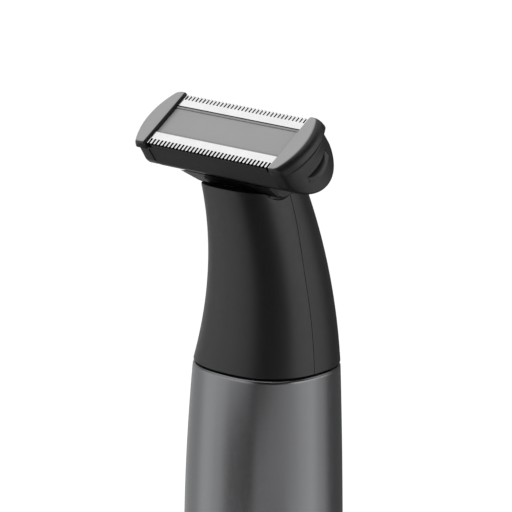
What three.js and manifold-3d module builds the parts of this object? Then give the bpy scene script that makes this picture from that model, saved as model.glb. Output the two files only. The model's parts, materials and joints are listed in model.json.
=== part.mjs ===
// A cordless body groomer: a handle with a power button, a leaning neck, and a tilting
// T-shaped head with two steel combs over an oscillating cutter.
// Millimetres, +Z up along the handle, -Y the front. The origin is the centre of the flat base.
import * as THREE from "three";
import { mergeVertices } from "three/addons/utils/BufferGeometryUtils.js";
import Module from "manifold-3d";

const wasm = await Module();
wasm.setup();

// ---- Driving dimensions -------------------------------------------------------------------

const GAP = 0.3; // clearance between pieces that touch
const WALL = 1.6; // housing wall

// Handle: a rounded-square section that swells gently below the seam.
const SEAM_Z = 108; // where the neck meets the sleeve
const SECTION_POWER = 2.46; // superellipse exponent of every section
const WIDTH_TO_DEPTH = 1.104;
const SWELL_Z = 63; // height of the widest section
const SWELL_HALF = 16.45;
const SEAM_HALF = 15.1;
const BASE_HALF = 14.45;
const SWELL_LEAN = -1.05; // how far the widest section sits towards the front
const AROUND = 32; // facets round the handle

// Neck: narrows towards the top and leans forward.
const NECK_GAP = 0.5; // shadow line above the sleeve
const NECK_TOP = 39.2; // highest point above the seam, at the front
const NECK_TAPER = 0.178;
const NECK_FLARE = 0.0012;
const NECK_BACK_AT = 11.5;
const NECK_CURVE = 0.00688;
const NECK_RIM_SLOPE = 0.12; // the rim is this much higher per mm towards the front
const ROOF_UNDER = 35.2; // underside of the neck's roof, above the seam
const PLATE_Z = SEAM_Z + 30; // underside of the hinge bracket's plate
const BRACKET_SCREW_X = 5;
const BRACKET_SCREW_Y = 1.6;

// Base
const BASE_CAP_TOP = 4.7;
const BASE_EDGE_R = 2.2;
const SCREW_X = [-9.2, 9.2]; // base screws, up into the chassis
const SCREW_Y = -2.6;

// Head, in its own frame: x along the blade, y from front to back, z out of the blade plane.
const HEAD_TILT = THREE.MathUtils.degToRad(33.9);
const HEAD_Y = -12.05; // centre of the blade plane in the handle's frame
const HEAD_ABOVE_SEAM = 50.9;
const BLADE_HALF = 17.3; // half length of the comb strips
const TIP_Y = 7.16; // tooth tips from the centre line
const COMB_WIDTH = 3.29;
const COMB_THICK = 0.35;
const TOOTH_PITCH = 1.0;
const SLOT_WIDTH = 0.42;
const SLOT_LENGTH = 1.15;
const CUTTER_PITCH = 1.5 * TOOTH_PITCH;
const CUTTER_TRAVEL = 0.8;
const WALL_TOP_Z = -1.3; // top of the housing's walls, under the cutters
const PROFILE_Y = -0.5; // centre of the head's round side profile
const PROFILE_Z = -3.05;
const PROFILE_R = 7.2;
const FRONT_WALL_Y = -7.2;
const REAR_WALL_Y = 6.5;
const HEAD_WALL = 1.2;
const ROUND_PROFILE = { curveSegments: 9 };

// End caps
const CAP_INNER = 17.6;
const CAP_OUTER = 22.2; // at the middle
const CAP_CORNER = 19.7; // at the front and rear ends
const CAP_HALF_DEPTH = 7.5;
const CAP_PROUD = 0.55;
const RIM_BOTTOM_Z = -2.4;
const RIM_ROUND = 1.2;
const LOBE_OUTER = 23.0; // the grip lobe below the rim stands out a little further
const LOBE_ROUND = 1.8;

// Hinge barrel under the head
const HINGE_Y = -0.5; // in the head's frame
const HINGE_Z = -10.65;
const BARREL_R = 4.1;
const BARREL_HALF = 11.4;
const CARRIER_TOP_Z = -5.4; // the carrier's block reaches this far into the housing
const AXLE_R = 1.2;
const LUG_IN = 4.8;
const LUG_OUT = 6.4;
const LUG_R = 2.6;
const LUG_STEM = 1.7;
const CHANNEL_HALF = 3.4; // half width of the drive channel through the barrel
// Open sector of the barrel, measured from the neck's direction: the head nods forward a
// little and swings back a lot, and the lugs stay where they are.
const OPEN_FORWARD = THREE.MathUtils.degToRad(42);
const OPEN_BACK = THREE.MathUtils.degToRad(62);
const SPRING_R = 2.2;
const SPRING_WIRE = 0.35;

// Drive
const LEVER_PIVOT_Z = SEAM_Z + 14;
const FINGER_R = 1.0;
const CAM_THROW = 0.36;
const MOTOR_R = 10;
const MOTOR_FLAT = 7.5;
const MOTOR_BOTTOM = 76;
const MOTOR_TOP = 101;
const DECK_Z = MOTOR_TOP + GAP; // underside of the deck over the motor
const DECK_THICK = 2;
const MOTOR_SCREW_X = [-6.5, 6.5];

// Power and controls
const CELL_R = 7;
const CELL_Y = 3.5;
const CELL_BOTTOM = 13.5;
const CELL_LENGTH = 50;
const BOARD_Y = -8.4; // front face of the circuit board
const BOARD_THICK = 1.2;
const BUTTON_Z = 64;
const BUTTON_HALF_WIDTH = 4.2;
const BUTTON_HALF_HEIGHT = 6.6;
const WINDOW_Z = 53;
const PORT_Y = -7.2;

// ---- Materials ----------------------------------------------------------------------------

const material = (color, roughness, metalness) =>
  new THREE.MeshStandardMaterial({ color, roughness, metalness });
const SLEEVE_GREY = material(0x77797c, 0.38, 0.7);
const BLACK = material(0x2a2a2b, 0.45, 0);
const INNER_BLACK = material(0x1b1b1c, 0.6, 0);
const RUBBER = material(0x151515, 0.85, 0);
const STEEL = material(0xe8e8ea, 0.25, 1);
const PLATE_GREY = material(0x9b9b9b, 0.4, 0.2);
const NICKEL = material(0xb9b6ae, 0.35, 1);
const BOARD_GREEN = material(0x1d5a3a, 0.5, 0);
const CELL_WRAP = material(0x2c5f8a, 0.45, 0);
const ACETAL = material(0xe6e3da, 0.5, 0);
const LAMP = material(0xf4f4ef, 0.2, 0);

// ---- Solids -------------------------------------------------------------------------------

const X = new THREE.Vector3(1, 0, 0);
const Y = new THREE.Vector3(0, 1, 0);
const Z = new THREE.Vector3(0, 0, 1);
const ALONG = {
  x: new THREE.Matrix4().makeBasis(Y, Z, X), // a shape's (x, y) becomes (y, z)
  y: new THREE.Matrix4().makeBasis(Z, X, Y), // a shape's (x, y) becomes (z, x)
  z: new THREE.Matrix4(),
};

function toSolid(geometry) {
  const bare = new THREE.BufferGeometry();
  bare.setAttribute("position", geometry.getAttribute("position"));
  bare.setIndex(geometry.index);
  const merged = mergeVertices(bare, 1e-4);
  return new wasm.Manifold(
    new wasm.Mesh({
      numProp: 3,
      vertProperties: merged.attributes.position.array,
      triVerts: new Uint32Array(merged.index.array),
    }),
  );
}

function toGeometry(solid) {
  const mesh = solid.getMesh();
  const geometry = new THREE.BufferGeometry();
  geometry.setAttribute("position", new THREE.BufferAttribute(mesh.vertProperties, 3));
  geometry.setIndex(new THREE.BufferAttribute(mesh.triVerts, 1));
  geometry.computeVertexNormals();
  return geometry;
}

const join = (...solids) => solids.reduce((whole, next) => whole.add(next));
const cut = (solid, ...tools) => tools.reduce((rest, tool) => rest.subtract(tool), solid);
const span = (a, b) => (a < b ? [a, b] : [b, a]);

function box(x0, x1, y0, y1, z0, z1) {
  const geometry = new THREE.BoxGeometry(x1 - x0, y1 - y0, z1 - z0);
  return toSolid(geometry.translate((x0 + x1) / 2, (y0 + y1) / 2, (z0 + z1) / 2));
}

// A round rod from `from` to `to` along an axis, through `centre` in the other two directions.
function rod(axis, radius, from, to, centre = [0, 0], sides = 16) {
  const geometry = new THREE.CylinderGeometry(radius, radius, to - from, sides);
  geometry.rotateX(Math.PI / 2).translate(centre[0], centre[1], (from + to) / 2);
  return toSolid(geometry.applyMatrix4(ALONG[axis]));
}

// A turned piece: profile points are [radius, distance along the axis].
function turned(axis, profile, centre = [0, 0], sides = 24) {
  const points = profile.map(([r, along]) => new THREE.Vector2(r, along));
  const geometry = new THREE.LatheGeometry(points, sides);
  geometry.rotateX(Math.PI / 2).translate(centre[0], centre[1], 0);
  return toSolid(geometry.applyMatrix4(ALONG[axis]));
}

function prism(axis, shape, from, to, options = {}) {
  const settings = { depth: to - from, bevelEnabled: false, curveSegments: 3, ...options };
  const geometry = new THREE.ExtrudeGeometry(shape, settings);
  return toSolid(geometry.translate(0, 0, from).applyMatrix4(ALONG[axis]));
}

// A slot shape with round ends, centred on (cx, cy).
function slotShape(halfWidth, halfHeight, cx = 0, cy = 0) {
  const r = Math.min(halfWidth, halfHeight);
  const dx = halfWidth - r;
  const dy = halfHeight - r;
  const shape = new THREE.Shape();
  shape.absarc(cx + dx, cy + dy, r, 0, Math.PI / 2);
  shape.absarc(cx - dx, cy + dy, r, Math.PI / 2, Math.PI);
  shape.absarc(cx - dx, cy - dy, r, Math.PI, 1.5 * Math.PI);
  shape.absarc(cx + dx, cy - dy, r, 1.5 * Math.PI, 2 * Math.PI);
  return shape;
}

const range = (from, to, steps) =>
  Array.from({ length: steps + 1 }, (_, i) => from + ((to - from) * i) / steps);

// ---- Handle sections ----------------------------------------------------------------------

function sleeveSection(z) {
  const top = (z - SWELL_Z) / (SEAM_Z - SWELL_Z);
  const low = (SWELL_Z - z) / SWELL_Z;
  const share = z > SWELL_Z ? top * top : low * low;
  const edge = z > SWELL_Z ? SEAM_HALF : BASE_HALF;
  const half = SWELL_HALF - (SWELL_HALF - edge) * share;
  return { halfWidth: half, halfDepth: half / WIDTH_TO_DEPTH, y: SWELL_LEAN * (1 - share) };
}

function neckSection(z) {
  const h = Math.max(z - SEAM_Z, 0);
  const half = SEAM_HALF - NECK_TAPER * h + NECK_FLARE * h * h;
  const ratio = WIDTH_TO_DEPTH - (WIDTH_TO_DEPTH - 1) * (h / NECK_TOP);
  const bend = (h - NECK_BACK_AT) ** 2 - NECK_BACK_AT ** 2;
  return { halfWidth: half, halfDepth: half / ratio, y: -NECK_CURVE * bend };
}

const sectionAt = (z) => (z > SEAM_Z ? neckSection(z) : sleeveSection(z));

const superPower = (value) => Math.sign(value) * Math.abs(value) ** (2 / SECTION_POWER);

// A solid between the heights in zs that keeps the handle's section, drawn in by insetAt(z).
function handleLoft(zs, insetAt) {
  const steps = zs.length - 1;
  const geometry = new THREE.CylinderGeometry(1, 1, steps, AROUND, steps);
  geometry.rotateX(Math.PI / 2);
  const place = geometry.attributes.position;
  for (let i = 0; i < place.count; i++) {
    const z = zs[Math.round(place.getZ(i) + steps / 2)];
    const section = sectionAt(z);
    const inset = insetAt(z);
    const x = superPower(snap(place.getX(i))) * (section.halfWidth - inset);
    const y = section.y + superPower(snap(place.getY(i))) * (section.halfDepth - inset);
    place.setXYZ(i, x, y, z);
  }
  return toSolid(geometry);
}

// Rounds away the noise of sin and cos near zero, which superPower would magnify.
function snap(value) {
  return Math.abs(value) < 1e-9 ? 0 : value;
}

const ringLoft = (zs, outer, inner) =>
  cut(
    handleLoft(zs, () => outer),
    handleLoft([zs[0] - 1, zs[1] + 1], () => inner),
  );

// ---- The object ---------------------------------------------------------------------------

const groomer = new THREE.Group();
const head = new THREE.Group();
head.position.set(0, HEAD_Y, SEAM_Z + HEAD_ABOVE_SEAM);
head.rotation.x = HEAD_TILT;
groomer.add(head);

function piece(parent, name, solid, look) {
  const mesh = new THREE.Mesh(toGeometry(solid), look.clone());
  mesh.name = name;
  parent.add(mesh);
  return mesh;
}

// The hinge axis of the head in the handle's frame.
const HINGE = new THREE.Vector3(0, HINGE_Y, HINGE_Z)
  .applyAxisAngle(X, HEAD_TILT)
  .add(head.position);

buildSleeve();
buildBase();
buildNeck();
buildHingeMount();
buildPower();
buildControls();
buildDrive();
buildCarrier();
buildHousing();
buildBlades();
[-1, 1].forEach(buildEndCap);

export default groomer;

// ---- Sleeve, base and neck ----------------------------------------------------------------

function buildSleeve() {
  const bottom = BASE_CAP_TOP + GAP;
  const chamfer = 0.35;
  const outerZs = [bottom, bottom + chamfer, ...range(20, 100, 5), SEAM_Z - chamfer, SEAM_Z];
  const outer = handleLoft(outerZs, (z) => (z === bottom || z === SEAM_Z ? chamfer : 0));
  const inner = handleLoft([bottom - 1, ...range(20, 100, 3), SEAM_Z + 1], () => WALL);
  const front = -25;
  const buttonHole = prism(
    "y",
    slotShape(BUTTON_HALF_HEIGHT + GAP, BUTTON_HALF_WIDTH + GAP, BUTTON_Z, 0),
    front,
    -5,
  );
  const windowHole = rod("y", 1.2 + GAP, front, -5, [WINDOW_Z, 0], 12);
  piece(groomer, "body_sleeve", cut(outer, inner, buttonHole, windowHole), SLEEVE_GREY);
  const collar = ringLoft([SEAM_Z - 4, SEAM_Z + 5], WALL + GAP, WALL + 1.7);
  piece(groomer, "neck_collar", collar, RUBBER);
}

function buildBase() {
  const roundedEdge = (z) => {
    const below = Math.max(BASE_EDGE_R - z, 0);
    return BASE_EDGE_R - Math.sqrt(BASE_EDGE_R ** 2 - below ** 2);
  };
  const lowAngles = range(0, Math.PI / 2, 3);
  const outerZs = [...lowAngles.map((a) => BASE_EDGE_R * (1 - Math.cos(a))), BASE_CAP_TOP];
  const outer = handleLoft(outerZs, roundedEdge);
  const plugTop = BASE_CAP_TOP + 4.2;
  const plug = handleLoft([BASE_CAP_TOP - 1, plugTop], () => WALL + 1.3);
  const hollow = handleLoft([3, plugTop + 1], () => WALL + 2.3);
  const portHole = prism("z", slotShape(4.9, 2.05, 0, PORT_Y), -1, 5);
  const screwHoles = SCREW_X.map((x) =>
    join(rod("z", 1.2, -1, 5, [x, SCREW_Y], 16), rod("z", 2.4, -1, 1.8, [x, SCREW_Y], 16)),
  );
  const cap = cut(join(outer, plug), hollow, portHole, ...screwHoles);
  piece(groomer, "base_cap", cap, BLACK);
  const sealLow = BASE_CAP_TOP + 1.2;
  const seal = ringLoft([sealLow, sealLow + 1.6], WALL + GAP, WALL + 1.3 - GAP);
  piece(groomer, "base_seal", seal, RUBBER);
  SCREW_X.forEach((x, i) => {
    const shank = rod("z", 0.9, 1.2, 12, [x, SCREW_Y], 12);
    const top = cut(
      rod("z", 2.0, 0.5, 1.6, [x, SCREW_Y], 16),
      box(x - 1.4, x + 1.4, SCREW_Y - 0.25, SCREW_Y + 0.25, 0, 0.95),
      box(x - 0.25, x + 0.25, SCREW_Y - 1.4, SCREW_Y + 1.4, 0, 0.95),
    );
    piece(groomer, i ? "base_screw_right" : "base_screw_left", join(shank, top), NICKEL);
  });
}

// A slab between two heights that follows the neck's side parting surface, from it to the front or rear.
function neckHalf(sign) {
  const steps = 7;
  const low = SEAM_Z - 1;
  const high = SEAM_Z + NECK_TOP + 2;
  const geometry = new THREE.BoxGeometry(60, 40, high - low, 1, 1, steps);
  geometry.translate(0, sign * (20 + GAP / 4), (low + high) / 2);
  const place = geometry.attributes.position;
  for (let i = 0; i < place.count; i++) {
    place.setY(i, place.getY(i) + sectionAt(place.getZ(i)).y);
  }
  return toSolid(geometry);
}

function buildNeck() {
  const bottom = SEAM_Z + NECK_GAP;
  const top = SEAM_Z + NECK_TOP;
  const outer = handleLoft([...range(bottom, SEAM_Z + 36, 7), top], () => 0);
  const inner = handleLoft(range(bottom - 1, SEAM_Z + ROOF_UNDER, 5), () => WALL);
  const rimCut = new THREE.BoxGeometry(60, 60, 20);
  rimCut.translate(0, 0, 10).rotateX(-Math.atan(NECK_RIM_SLOPE));
  rimCut.translate(0, HINGE.y - 7, top);
  const saddle = rod("x", BARREL_R + 0.5, -30, 30, [HINGE.y, HINGE.z], 40);
  const sweep = rod("z", 3.4, SEAM_Z + 30, top + 5, [0, HINGE.y]);
  const lugHoles = [-1, 1].map((side) => {
    const near = side * (LUG_IN - GAP - 0.1);
    const far = side * (LUG_OUT + GAP + 0.1);
    const reach = LUG_STEM + GAP + 0.1;
    const [x0, x1] = span(near, far);
    return box(x0, x1, HINGE.y - reach, HINGE.y + reach, SEAM_Z + 30, top + 5);
  });
  const shell = cut(outer, inner, toSolid(rimCut), saddle, sweep, ...lugHoles);
  piece(groomer, "neck_front_shell", shell.intersect(neckHalf(-1)), BLACK);
  const bosses = [-1, 1].map((side) => {
    const x = side * BRACKET_SCREW_X;
    const column = box(x - 1.9, x + 1.9, BRACKET_SCREW_Y - 1.9, 15, SEAM_Z + 22, PLATE_Z - GAP);
    return cut(
      column.intersect(outer),
      rod("z", 1.2, SEAM_Z + 23, SEAM_Z + 40, [x, BRACKET_SCREW_Y], 16),
    );
  });
  const rear = shell.intersect(neckHalf(1));
  piece(groomer, "neck_rear_shell", join(rear, ...bosses), BLACK);
}

// ---- Hinge mount inside the neck ----------------------------------------------------------

function buildHingeMount() {
  const plate = box(-6.9, 6.9, HINGE.y - LUG_STEM, BRACKET_SCREW_Y + 2.2, PLATE_Z, PLATE_Z + 2);
  const passage = box(-3.1, 3.1, HINGE.y - 5, HINGE.y + 2.9, PLATE_Z - 1, PLATE_Z + 3);
  const lugs = [-1, 1].map((side) => {
    const [x0, x1] = span(side * LUG_IN, side * LUG_OUT);
    return join(
      box(x0, x1, HINGE.y - LUG_STEM, HINGE.y + LUG_STEM, PLATE_Z + 1, HINGE.z),
      rod("x", LUG_R, x0, x1, [HINGE.y, HINGE.z]),
    );
  });
  const axleHole = rod("x", AXLE_R + GAP, -10, 10, [HINGE.y, HINGE.z]);
  const screwHoles = [-1, 1].map((side) =>
    rod("z", 1.2, PLATE_Z - 1, PLATE_Z + 3, [side * BRACKET_SCREW_X, BRACKET_SCREW_Y], 16),
  );
  const bracket = cut(join(plate, ...lugs), passage, axleHole, ...screwHoles);
  piece(groomer, "pivot_bracket", bracket, NICKEL);
  [-1, 1].forEach((side) => {
    const name = side < 0 ? "left" : "right";
    const x = side * BRACKET_SCREW_X;
    const screw = join(
      rod("z", 0.9, SEAM_Z + 24, PLATE_Z + 2.5, [x, BRACKET_SCREW_Y], 12),
      rod("z", 1.8, PLATE_Z + 2 + GAP, PLATE_Z + 3.4, [x, BRACKET_SCREW_Y], 16),
    );
    piece(groomer, "bracket_screw_" + name, screw, NICKEL);
    const ends = span(side * (CHANNEL_HALF + GAP), side * (BARREL_HALF - 1.1));
    piece(groomer, "pivot_axle_" + name, rod("x", AXLE_R, ...ends, [HINGE.y, HINGE.z]), STEEL);
    piece(groomer, "return_spring_" + name, coil(side), STEEL);
  });
  const boot = turned(
    "z",
    [
      [2.2, SEAM_Z + 32.6],
      [3.1, SEAM_Z + 32.6],
      [3.1, SEAM_Z + 36.4],
      [2.3, SEAM_Z + 37.1],
      [2.2, SEAM_Z + 37.0],
      [2.2, SEAM_Z + 32.6],
    ],
    [0, HINGE.y],
  );
  piece(groomer, "neck_boot", boot, RUBBER);
}

// The torsion spring round a stub axle, inside the barrel.
function coil(side) {
  const turns = 2.5;
  const pitch = 2 * SPRING_WIRE + 0.06;
  const start = LUG_OUT + GAP + 0.4;
  class Helix extends THREE.Curve {
    getPoint(t, target = new THREE.Vector3()) {
      const angle = 2 * Math.PI * turns * t;
      const x = side * (start + turns * pitch * t);
      const y = HINGE.y + SPRING_R * Math.cos(angle);
      return target.set(x, y, HINGE.z + SPRING_R * Math.sin(angle));
    }
  }
  const wire = new THREE.Shape();
  wire.absarc(0, 0, SPRING_WIRE, 0, 2 * Math.PI);
  const settings = { steps: 24, extrudePath: new Helix(), curveSegments: 3 };
  return toSolid(new THREE.ExtrudeGeometry(wire, settings));
}

// ---- Battery, board and port --------------------------------------------------------------

function buildPower() {
  const deckInset = () => WALL + 0.6;
  const boardBack = BOARD_Y + BOARD_THICK;
  const spine = box(-11, 11, boardBack + GAP, boardBack + GAP + 1.3, 11, 73);
  const floor = cut(
    handleLoft([10.4, 12], deckInset),
    box(-20, 20, -20, boardBack + GAP, 5, 15),
  );
  const motorFloor = handleLoft([72.6, 74.6], deckInset);
  const motorDeck = handleLoft([DECK_Z, DECK_Z + DECK_THICK], deckInset);
  const rails = [-1, 1].map((side) => {
    return box(...span(side * 11, side * 12.4), -4.5, 4.5, 73.5, DECK_Z + 1);
  });
  const cheeks = [-1, 1].map((side) => {
    const ends = span(side * 3.8, side * 5.3);
    return join(
      box(-3.4, 3.4, ...ends, DECK_Z + 1, LEVER_PIVOT_Z),
      rod("y", 3.4, ...ends, [LEVER_PIVOT_Z, 0]),
    );
  });
  const screwBosses = SCREW_X.map((x) => rod("z", 2.3, 10.4, 16, [x, SCREW_Y], 16));
  const holes = [
    rod("z", 3.4, DECK_Z - 1, DECK_Z + 3),
    rod("y", AXLE_R + GAP, -10, 10, [LEVER_PIVOT_Z, 0]),
    ...SCREW_X.map((x) => rod("z", 1.2, 9, 13, [x, SCREW_Y], 16)),
    ...MOTOR_SCREW_X.map((x) => rod("z", 1.3, DECK_Z - 1, DECK_Z + 3, [x, 0], 16)),
  ];
  const frame = join(spine, floor, motorFloor, motorDeck, ...rails, ...cheeks, ...screwBosses);
  piece(groomer, "chassis", cut(frame, ...holes), INNER_BLACK);

  const cellTop = CELL_BOTTOM + CELL_LENGTH;
  const cell = turned(
    "z",
    [
      [0, CELL_BOTTOM],
      [CELL_R - 0.5, CELL_BOTTOM],
      [CELL_R, CELL_BOTTOM + 0.5],
      [CELL_R, cellTop - 0.8],
      [CELL_R - 0.8, cellTop],
      [2.6, cellTop],
      [2.6, cellTop + 0.9],
      [0, cellTop + 0.9],
    ],
    [0, CELL_Y],
  );
  piece(groomer, "battery_cell", cell, CELL_WRAP);
  const tabHalf = 2.5;
  const tabTop = cellTop + 0.9 + GAP;
  const positive = box(-tabHalf, tabHalf, -5, CELL_Y + 3, tabTop, tabTop + 0.4);
  piece(groomer, "battery_tab_top", positive, NICKEL);
  const low = CELL_BOTTOM - GAP;
  const negative = box(-tabHalf, tabHalf, -5, CELL_Y + 3, low - 0.4, low);
  piece(groomer, "battery_tab_bottom", negative, NICKEL);

  const board = box(-9.5, 9.5, BOARD_Y, boardBack, 9.2, 72);
  piece(groomer, "circuit_board", board, BOARD_GREEN);
  const chip = box(-2.5, 2.5, BOARD_Y - GAP - 1.1, BOARD_Y - GAP, 38, 43);
  piece(groomer, "control_chip", chip, INNER_BLACK);

  const shellOuter = prism("z", slotShape(4.47, 1.6, 0, PORT_Y), 1, 8.7);
  const shellInner = prism("z", slotShape(4.1, 1.25, 0, PORT_Y), 0, 7.7);
  piece(groomer, "charge_port_shell", cut(shellOuter, shellInner), NICKEL);
  const tongue = box(-3.2, 3.2, PORT_Y - 0.35, PORT_Y + 0.35, 1.6, 7.4);
  piece(groomer, "charge_port_tongue", tongue, INNER_BLACK);
}

// ---- Button, switch and light -------------------------------------------------------------

function buildControls() {
  const skinY = sleeveSection(BUTTON_Z).y - sleeveSection(BUTTON_Z).halfDepth;
  const innerY = skinY + WALL;
  const outline = (grow) =>
    slotShape(BUTTON_HALF_HEIGHT + grow, BUTTON_HALF_WIDTH + grow, BUTTON_Z, 0);
  const round = { bevelEnabled: true, bevelSize: 0.5, bevelThickness: 0.5, bevelOffset: -0.5 };
  const face = prism("y", outline(0), skinY + 0.2, innerY + 0.5, {
    ...round,
    bevelSegments: 2,
  });
  const flange = prism("y", outline(1), innerY + 0.7, innerY + 1.5);
  const stem = prism("y", outline(-1), innerY + 0.3, innerY + 1);
  const plunger = rod("y", 1.5, innerY + 1, BOARD_Y - GAP - 3.7, [BUTTON_Z, 0], 16);
  piece(groomer, "power_button", join(face, stem, flange, plunger), RUBBER);

  const switchBody = join(
    box(-3, 3, BOARD_Y - GAP - 2.2, BOARD_Y - GAP, BUTTON_Z - 3, BUTTON_Z + 3),
    rod("y", 1.6, BOARD_Y - GAP - 3, BOARD_Y - GAP - 2, [BUTTON_Z, 0], 16),
  );
  piece(groomer, "switch_body", switchBody, INNER_BLACK);
  const light = box(-1, 1, BOARD_Y - GAP - 0.9, BOARD_Y - GAP, WINDOW_Z - 0.6, WINDOW_Z + 0.6);
  piece(groomer, "status_light", light, ACETAL);
  const windowSkin = sleeveSection(WINDOW_Z).y - sleeveSection(WINDOW_Z).halfDepth;
  const pipe = turned(
    "y",
    [
      [0, windowSkin - 0.05],
      [0.9, windowSkin],
      [1.2, windowSkin + 0.25],
      [1.2, BOARD_Y - GAP - 1.3],
      [0, BOARD_Y - GAP - 1.3],
    ],
    [WINDOW_Z, 0],
    16,
  );
  piece(groomer, "light_window", pipe, LAMP);
}

// ---- Motor, cam and lever -----------------------------------------------------------------

function buildDrive() {
  const flats = box(-20, 20, -MOTOR_FLAT, MOTOR_FLAT, MOTOR_BOTTOM - 5, MOTOR_TOP + 5);
  const canBottom = MOTOR_BOTTOM + 4;
  const can = cut(
    rod("z", MOTOR_R, canBottom, MOTOR_TOP, [0, 0], 32).intersect(flats),
    rod("z", 1.3, MOTOR_TOP - 4, MOTOR_TOP + 1),
  );
  piece(groomer, "motor_can", can, NICKEL);
  const end = join(
    rod("z", MOTOR_R - 0.4, MOTOR_BOTTOM, canBottom - GAP, [0, 0], 32).intersect(flats),
    rod("z", 3, MOTOR_BOTTOM - 1, MOTOR_BOTTOM + 1),
  );
  piece(groomer, "motor_end_cap", end, ACETAL);
  MOTOR_SCREW_X.forEach((x, i) => {
    const screw = join(
      rod("z", 1.0, DECK_Z - 0.1, DECK_Z + DECK_THICK + 0.5, [x, 0], 12),
      rod("z", 1.9, DECK_Z + DECK_THICK + GAP, DECK_Z + DECK_THICK + 1.5, [x, 0], 16),
    );
    piece(groomer, i ? "motor_screw_right" : "motor_screw_left", screw, NICKEL);
  });

  const shaftTop = SEAM_Z + 1;
  piece(groomer, "motor_shaft", rod("z", 1.0, MOTOR_TOP - 3.6, shaftTop), STEEL);
  const camTop = shaftTop + 1.2;
  const cam = join(
    cut(rod("z", 3.1, camTop - 5, camTop), rod("z", 1.2, camTop - 6, shaftTop + GAP)),
    rod("z", 1.0, camTop - 0.2, camTop + 4, [CAM_THROW, 0], 16),
  );
  piece(groomer, "eccentric_cam", cam, ACETAL);

  const pinReach = 1.36 + CAM_THROW + 0.18;
  const prongs = [-1, 1].map((side) => {
    const ends = span(side * pinReach, side * (pinReach + 1.4));
    return box(...ends, -2, 2, camTop + 0.6, LEVER_PIVOT_Z - 4);
  });
  const bridge = box(-pinReach - 1.4, pinReach + 1.4, -2, 2, camTop + 4.9, LEVER_PIVOT_Z);
  const boss = rod("y", 3.3, -3.2, 3.2, [LEVER_PIVOT_Z, 0]);
  const socketLow = SEAM_Z + 26;
  const socketHigh = SEAM_Z + 31;
  const armShape = new THREE.Shape();
  armShape.moveTo(-1.9, LEVER_PIVOT_Z);
  armShape.lineTo(HINGE.y - 1.8, socketLow);
  armShape.lineTo(HINGE.y + 1.8, socketLow);
  armShape.lineTo(1.9, LEVER_PIVOT_Z);
  const arm = prism("x", armShape, -1.6, 1.6);
  const socket = rod("z", 2.0, socketLow - 2, socketHigh, [0, HINGE.y], 20);
  const fingerHole = rod("z", FINGER_R + GAP, socketLow + 0.5, socketHigh + 1, [0, HINGE.y]);
  const axleHole = rod("y", AXLE_R + GAP, -10, 10, [LEVER_PIVOT_Z, 0]);
  const lever = cut(join(bridge, boss, ...prongs, arm, socket), fingerHole, axleHole);
  piece(groomer, "drive_lever", lever, ACETAL);
  const pin = rod("y", AXLE_R, -6.2, 6.2, [LEVER_PIVOT_Z, 0]);
  piece(groomer, "lever_pivot_pin", pin, STEEL);
  const fingerLow = socketLow + 0.8;
  const fingerLength = HINGE.z - fingerLow;
  const finger = new THREE.CapsuleGeometry(FINGER_R, fingerLength, 4, 12);
  finger.rotateX(Math.PI / 2).translate(0, HINGE.y, fingerLow + fingerLength / 2 + 0.9);
  piece(groomer, "drive_finger", toSolid(finger), STEEL);
}

// ---- Head: carrier and housing ------------------------------------------------------------

// The head's round side profile with flat front and rear walls, drawn in by inset, up to topZ.
function headProfile(inset, topZ) {
  const radius = PROFILE_R - inset;
  const front = FRONT_WALL_Y + inset;
  const rear = REAR_WALL_Y - inset;
  const low = (y) => PROFILE_Z - Math.sqrt(Math.max(radius ** 2 - (y - PROFILE_Y) ** 2, 0));
  const angle = (y) => Math.atan2(low(y) - PROFILE_Z, y - PROFILE_Y);
  const shape = new THREE.Shape();
  shape.absarc(PROFILE_Y, PROFILE_Z, radius, angle(front), angle(rear), false);
  shape.lineTo(rear, topZ);
  shape.lineTo(front, topZ);
  return shape;
}

function buildCarrier() {
  const centre = [HINGE_Y, HINGE_Z];
  const edge = 0.7;
  const end = BARREL_HALF;
  const barrel = turned(
    "x",
    [
      [0, -end],
      [BARREL_R - edge, -end],
      [BARREL_R, -end + edge],
      [BARREL_R, end - edge],
      [BARREL_R - edge, end],
      [0, end],
    ],
    centre,
    30,
  );
  const [near, far] = [HINGE_Y - BARREL_R, HINGE_Y + BARREL_R];
  const block = box(-end, end, near, far, HINGE_Z, CARRIER_TOP_Z);
  const cheekShape = new THREE.Shape();
  cheekShape.moveTo(HINGE_Y, HINGE_Z);
  cheekShape.lineTo(near - 2, CARRIER_TOP_Z);
  cheekShape.lineTo(near - 2, PROFILE_Z - 3.85);
  cheekShape.lineTo(HINGE_Y - 3.7, HINGE_Z - 1.7);
  const underHousing = rod("x", PROFILE_R + GAP, -20, 20, [PROFILE_Y, PROFILE_Z], 48);
  const cheek = cut(prism("x", cheekShape, -end, end), underHousing);
  const openSector = new THREE.Shape();
  const down = -Math.PI / 2 - HEAD_TILT;
  openSector.absarc(HINGE_Y, HINGE_Z, 12, down - OPEN_FORWARD, down + OPEN_BACK, false);
  openSector.lineTo(HINGE_Y, HINGE_Z);
  const channel = [
    box(-CHANNEL_HALF, CHANNEL_HALF, HINGE_Y - 2.3, HINGE_Y + 2.3, HINGE_Z - 2, 5),
    prism("x", openSector, -CHANNEL_HALF, CHANNEL_HALF),
  ];
  const sides = [-1, 1].flatMap((side) => {
    const lug = span(side * (LUG_IN - 0.4), side * (LUG_OUT + 0.4));
    const hole = span(side * (CHANNEL_HALF - 0.5), side * (BARREL_HALF - 0.8));
    const cavity = span(side * (LUG_OUT + 0.1), side * (BARREL_HALF - 1.2));
    return [
      rod("x", LUG_R + 0.4, ...lug, centre),
      prism("x", openSector, ...lug),
      rod("x", AXLE_R + GAP, ...hole, centre),
      rod("x", SPRING_R + 0.9, ...cavity, centre),
    ];
  });
  const carrier = cut(join(barrel, block, cheek), ...channel, ...sides);
  piece(head, "head_carrier", carrier, BLACK);
}

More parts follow.
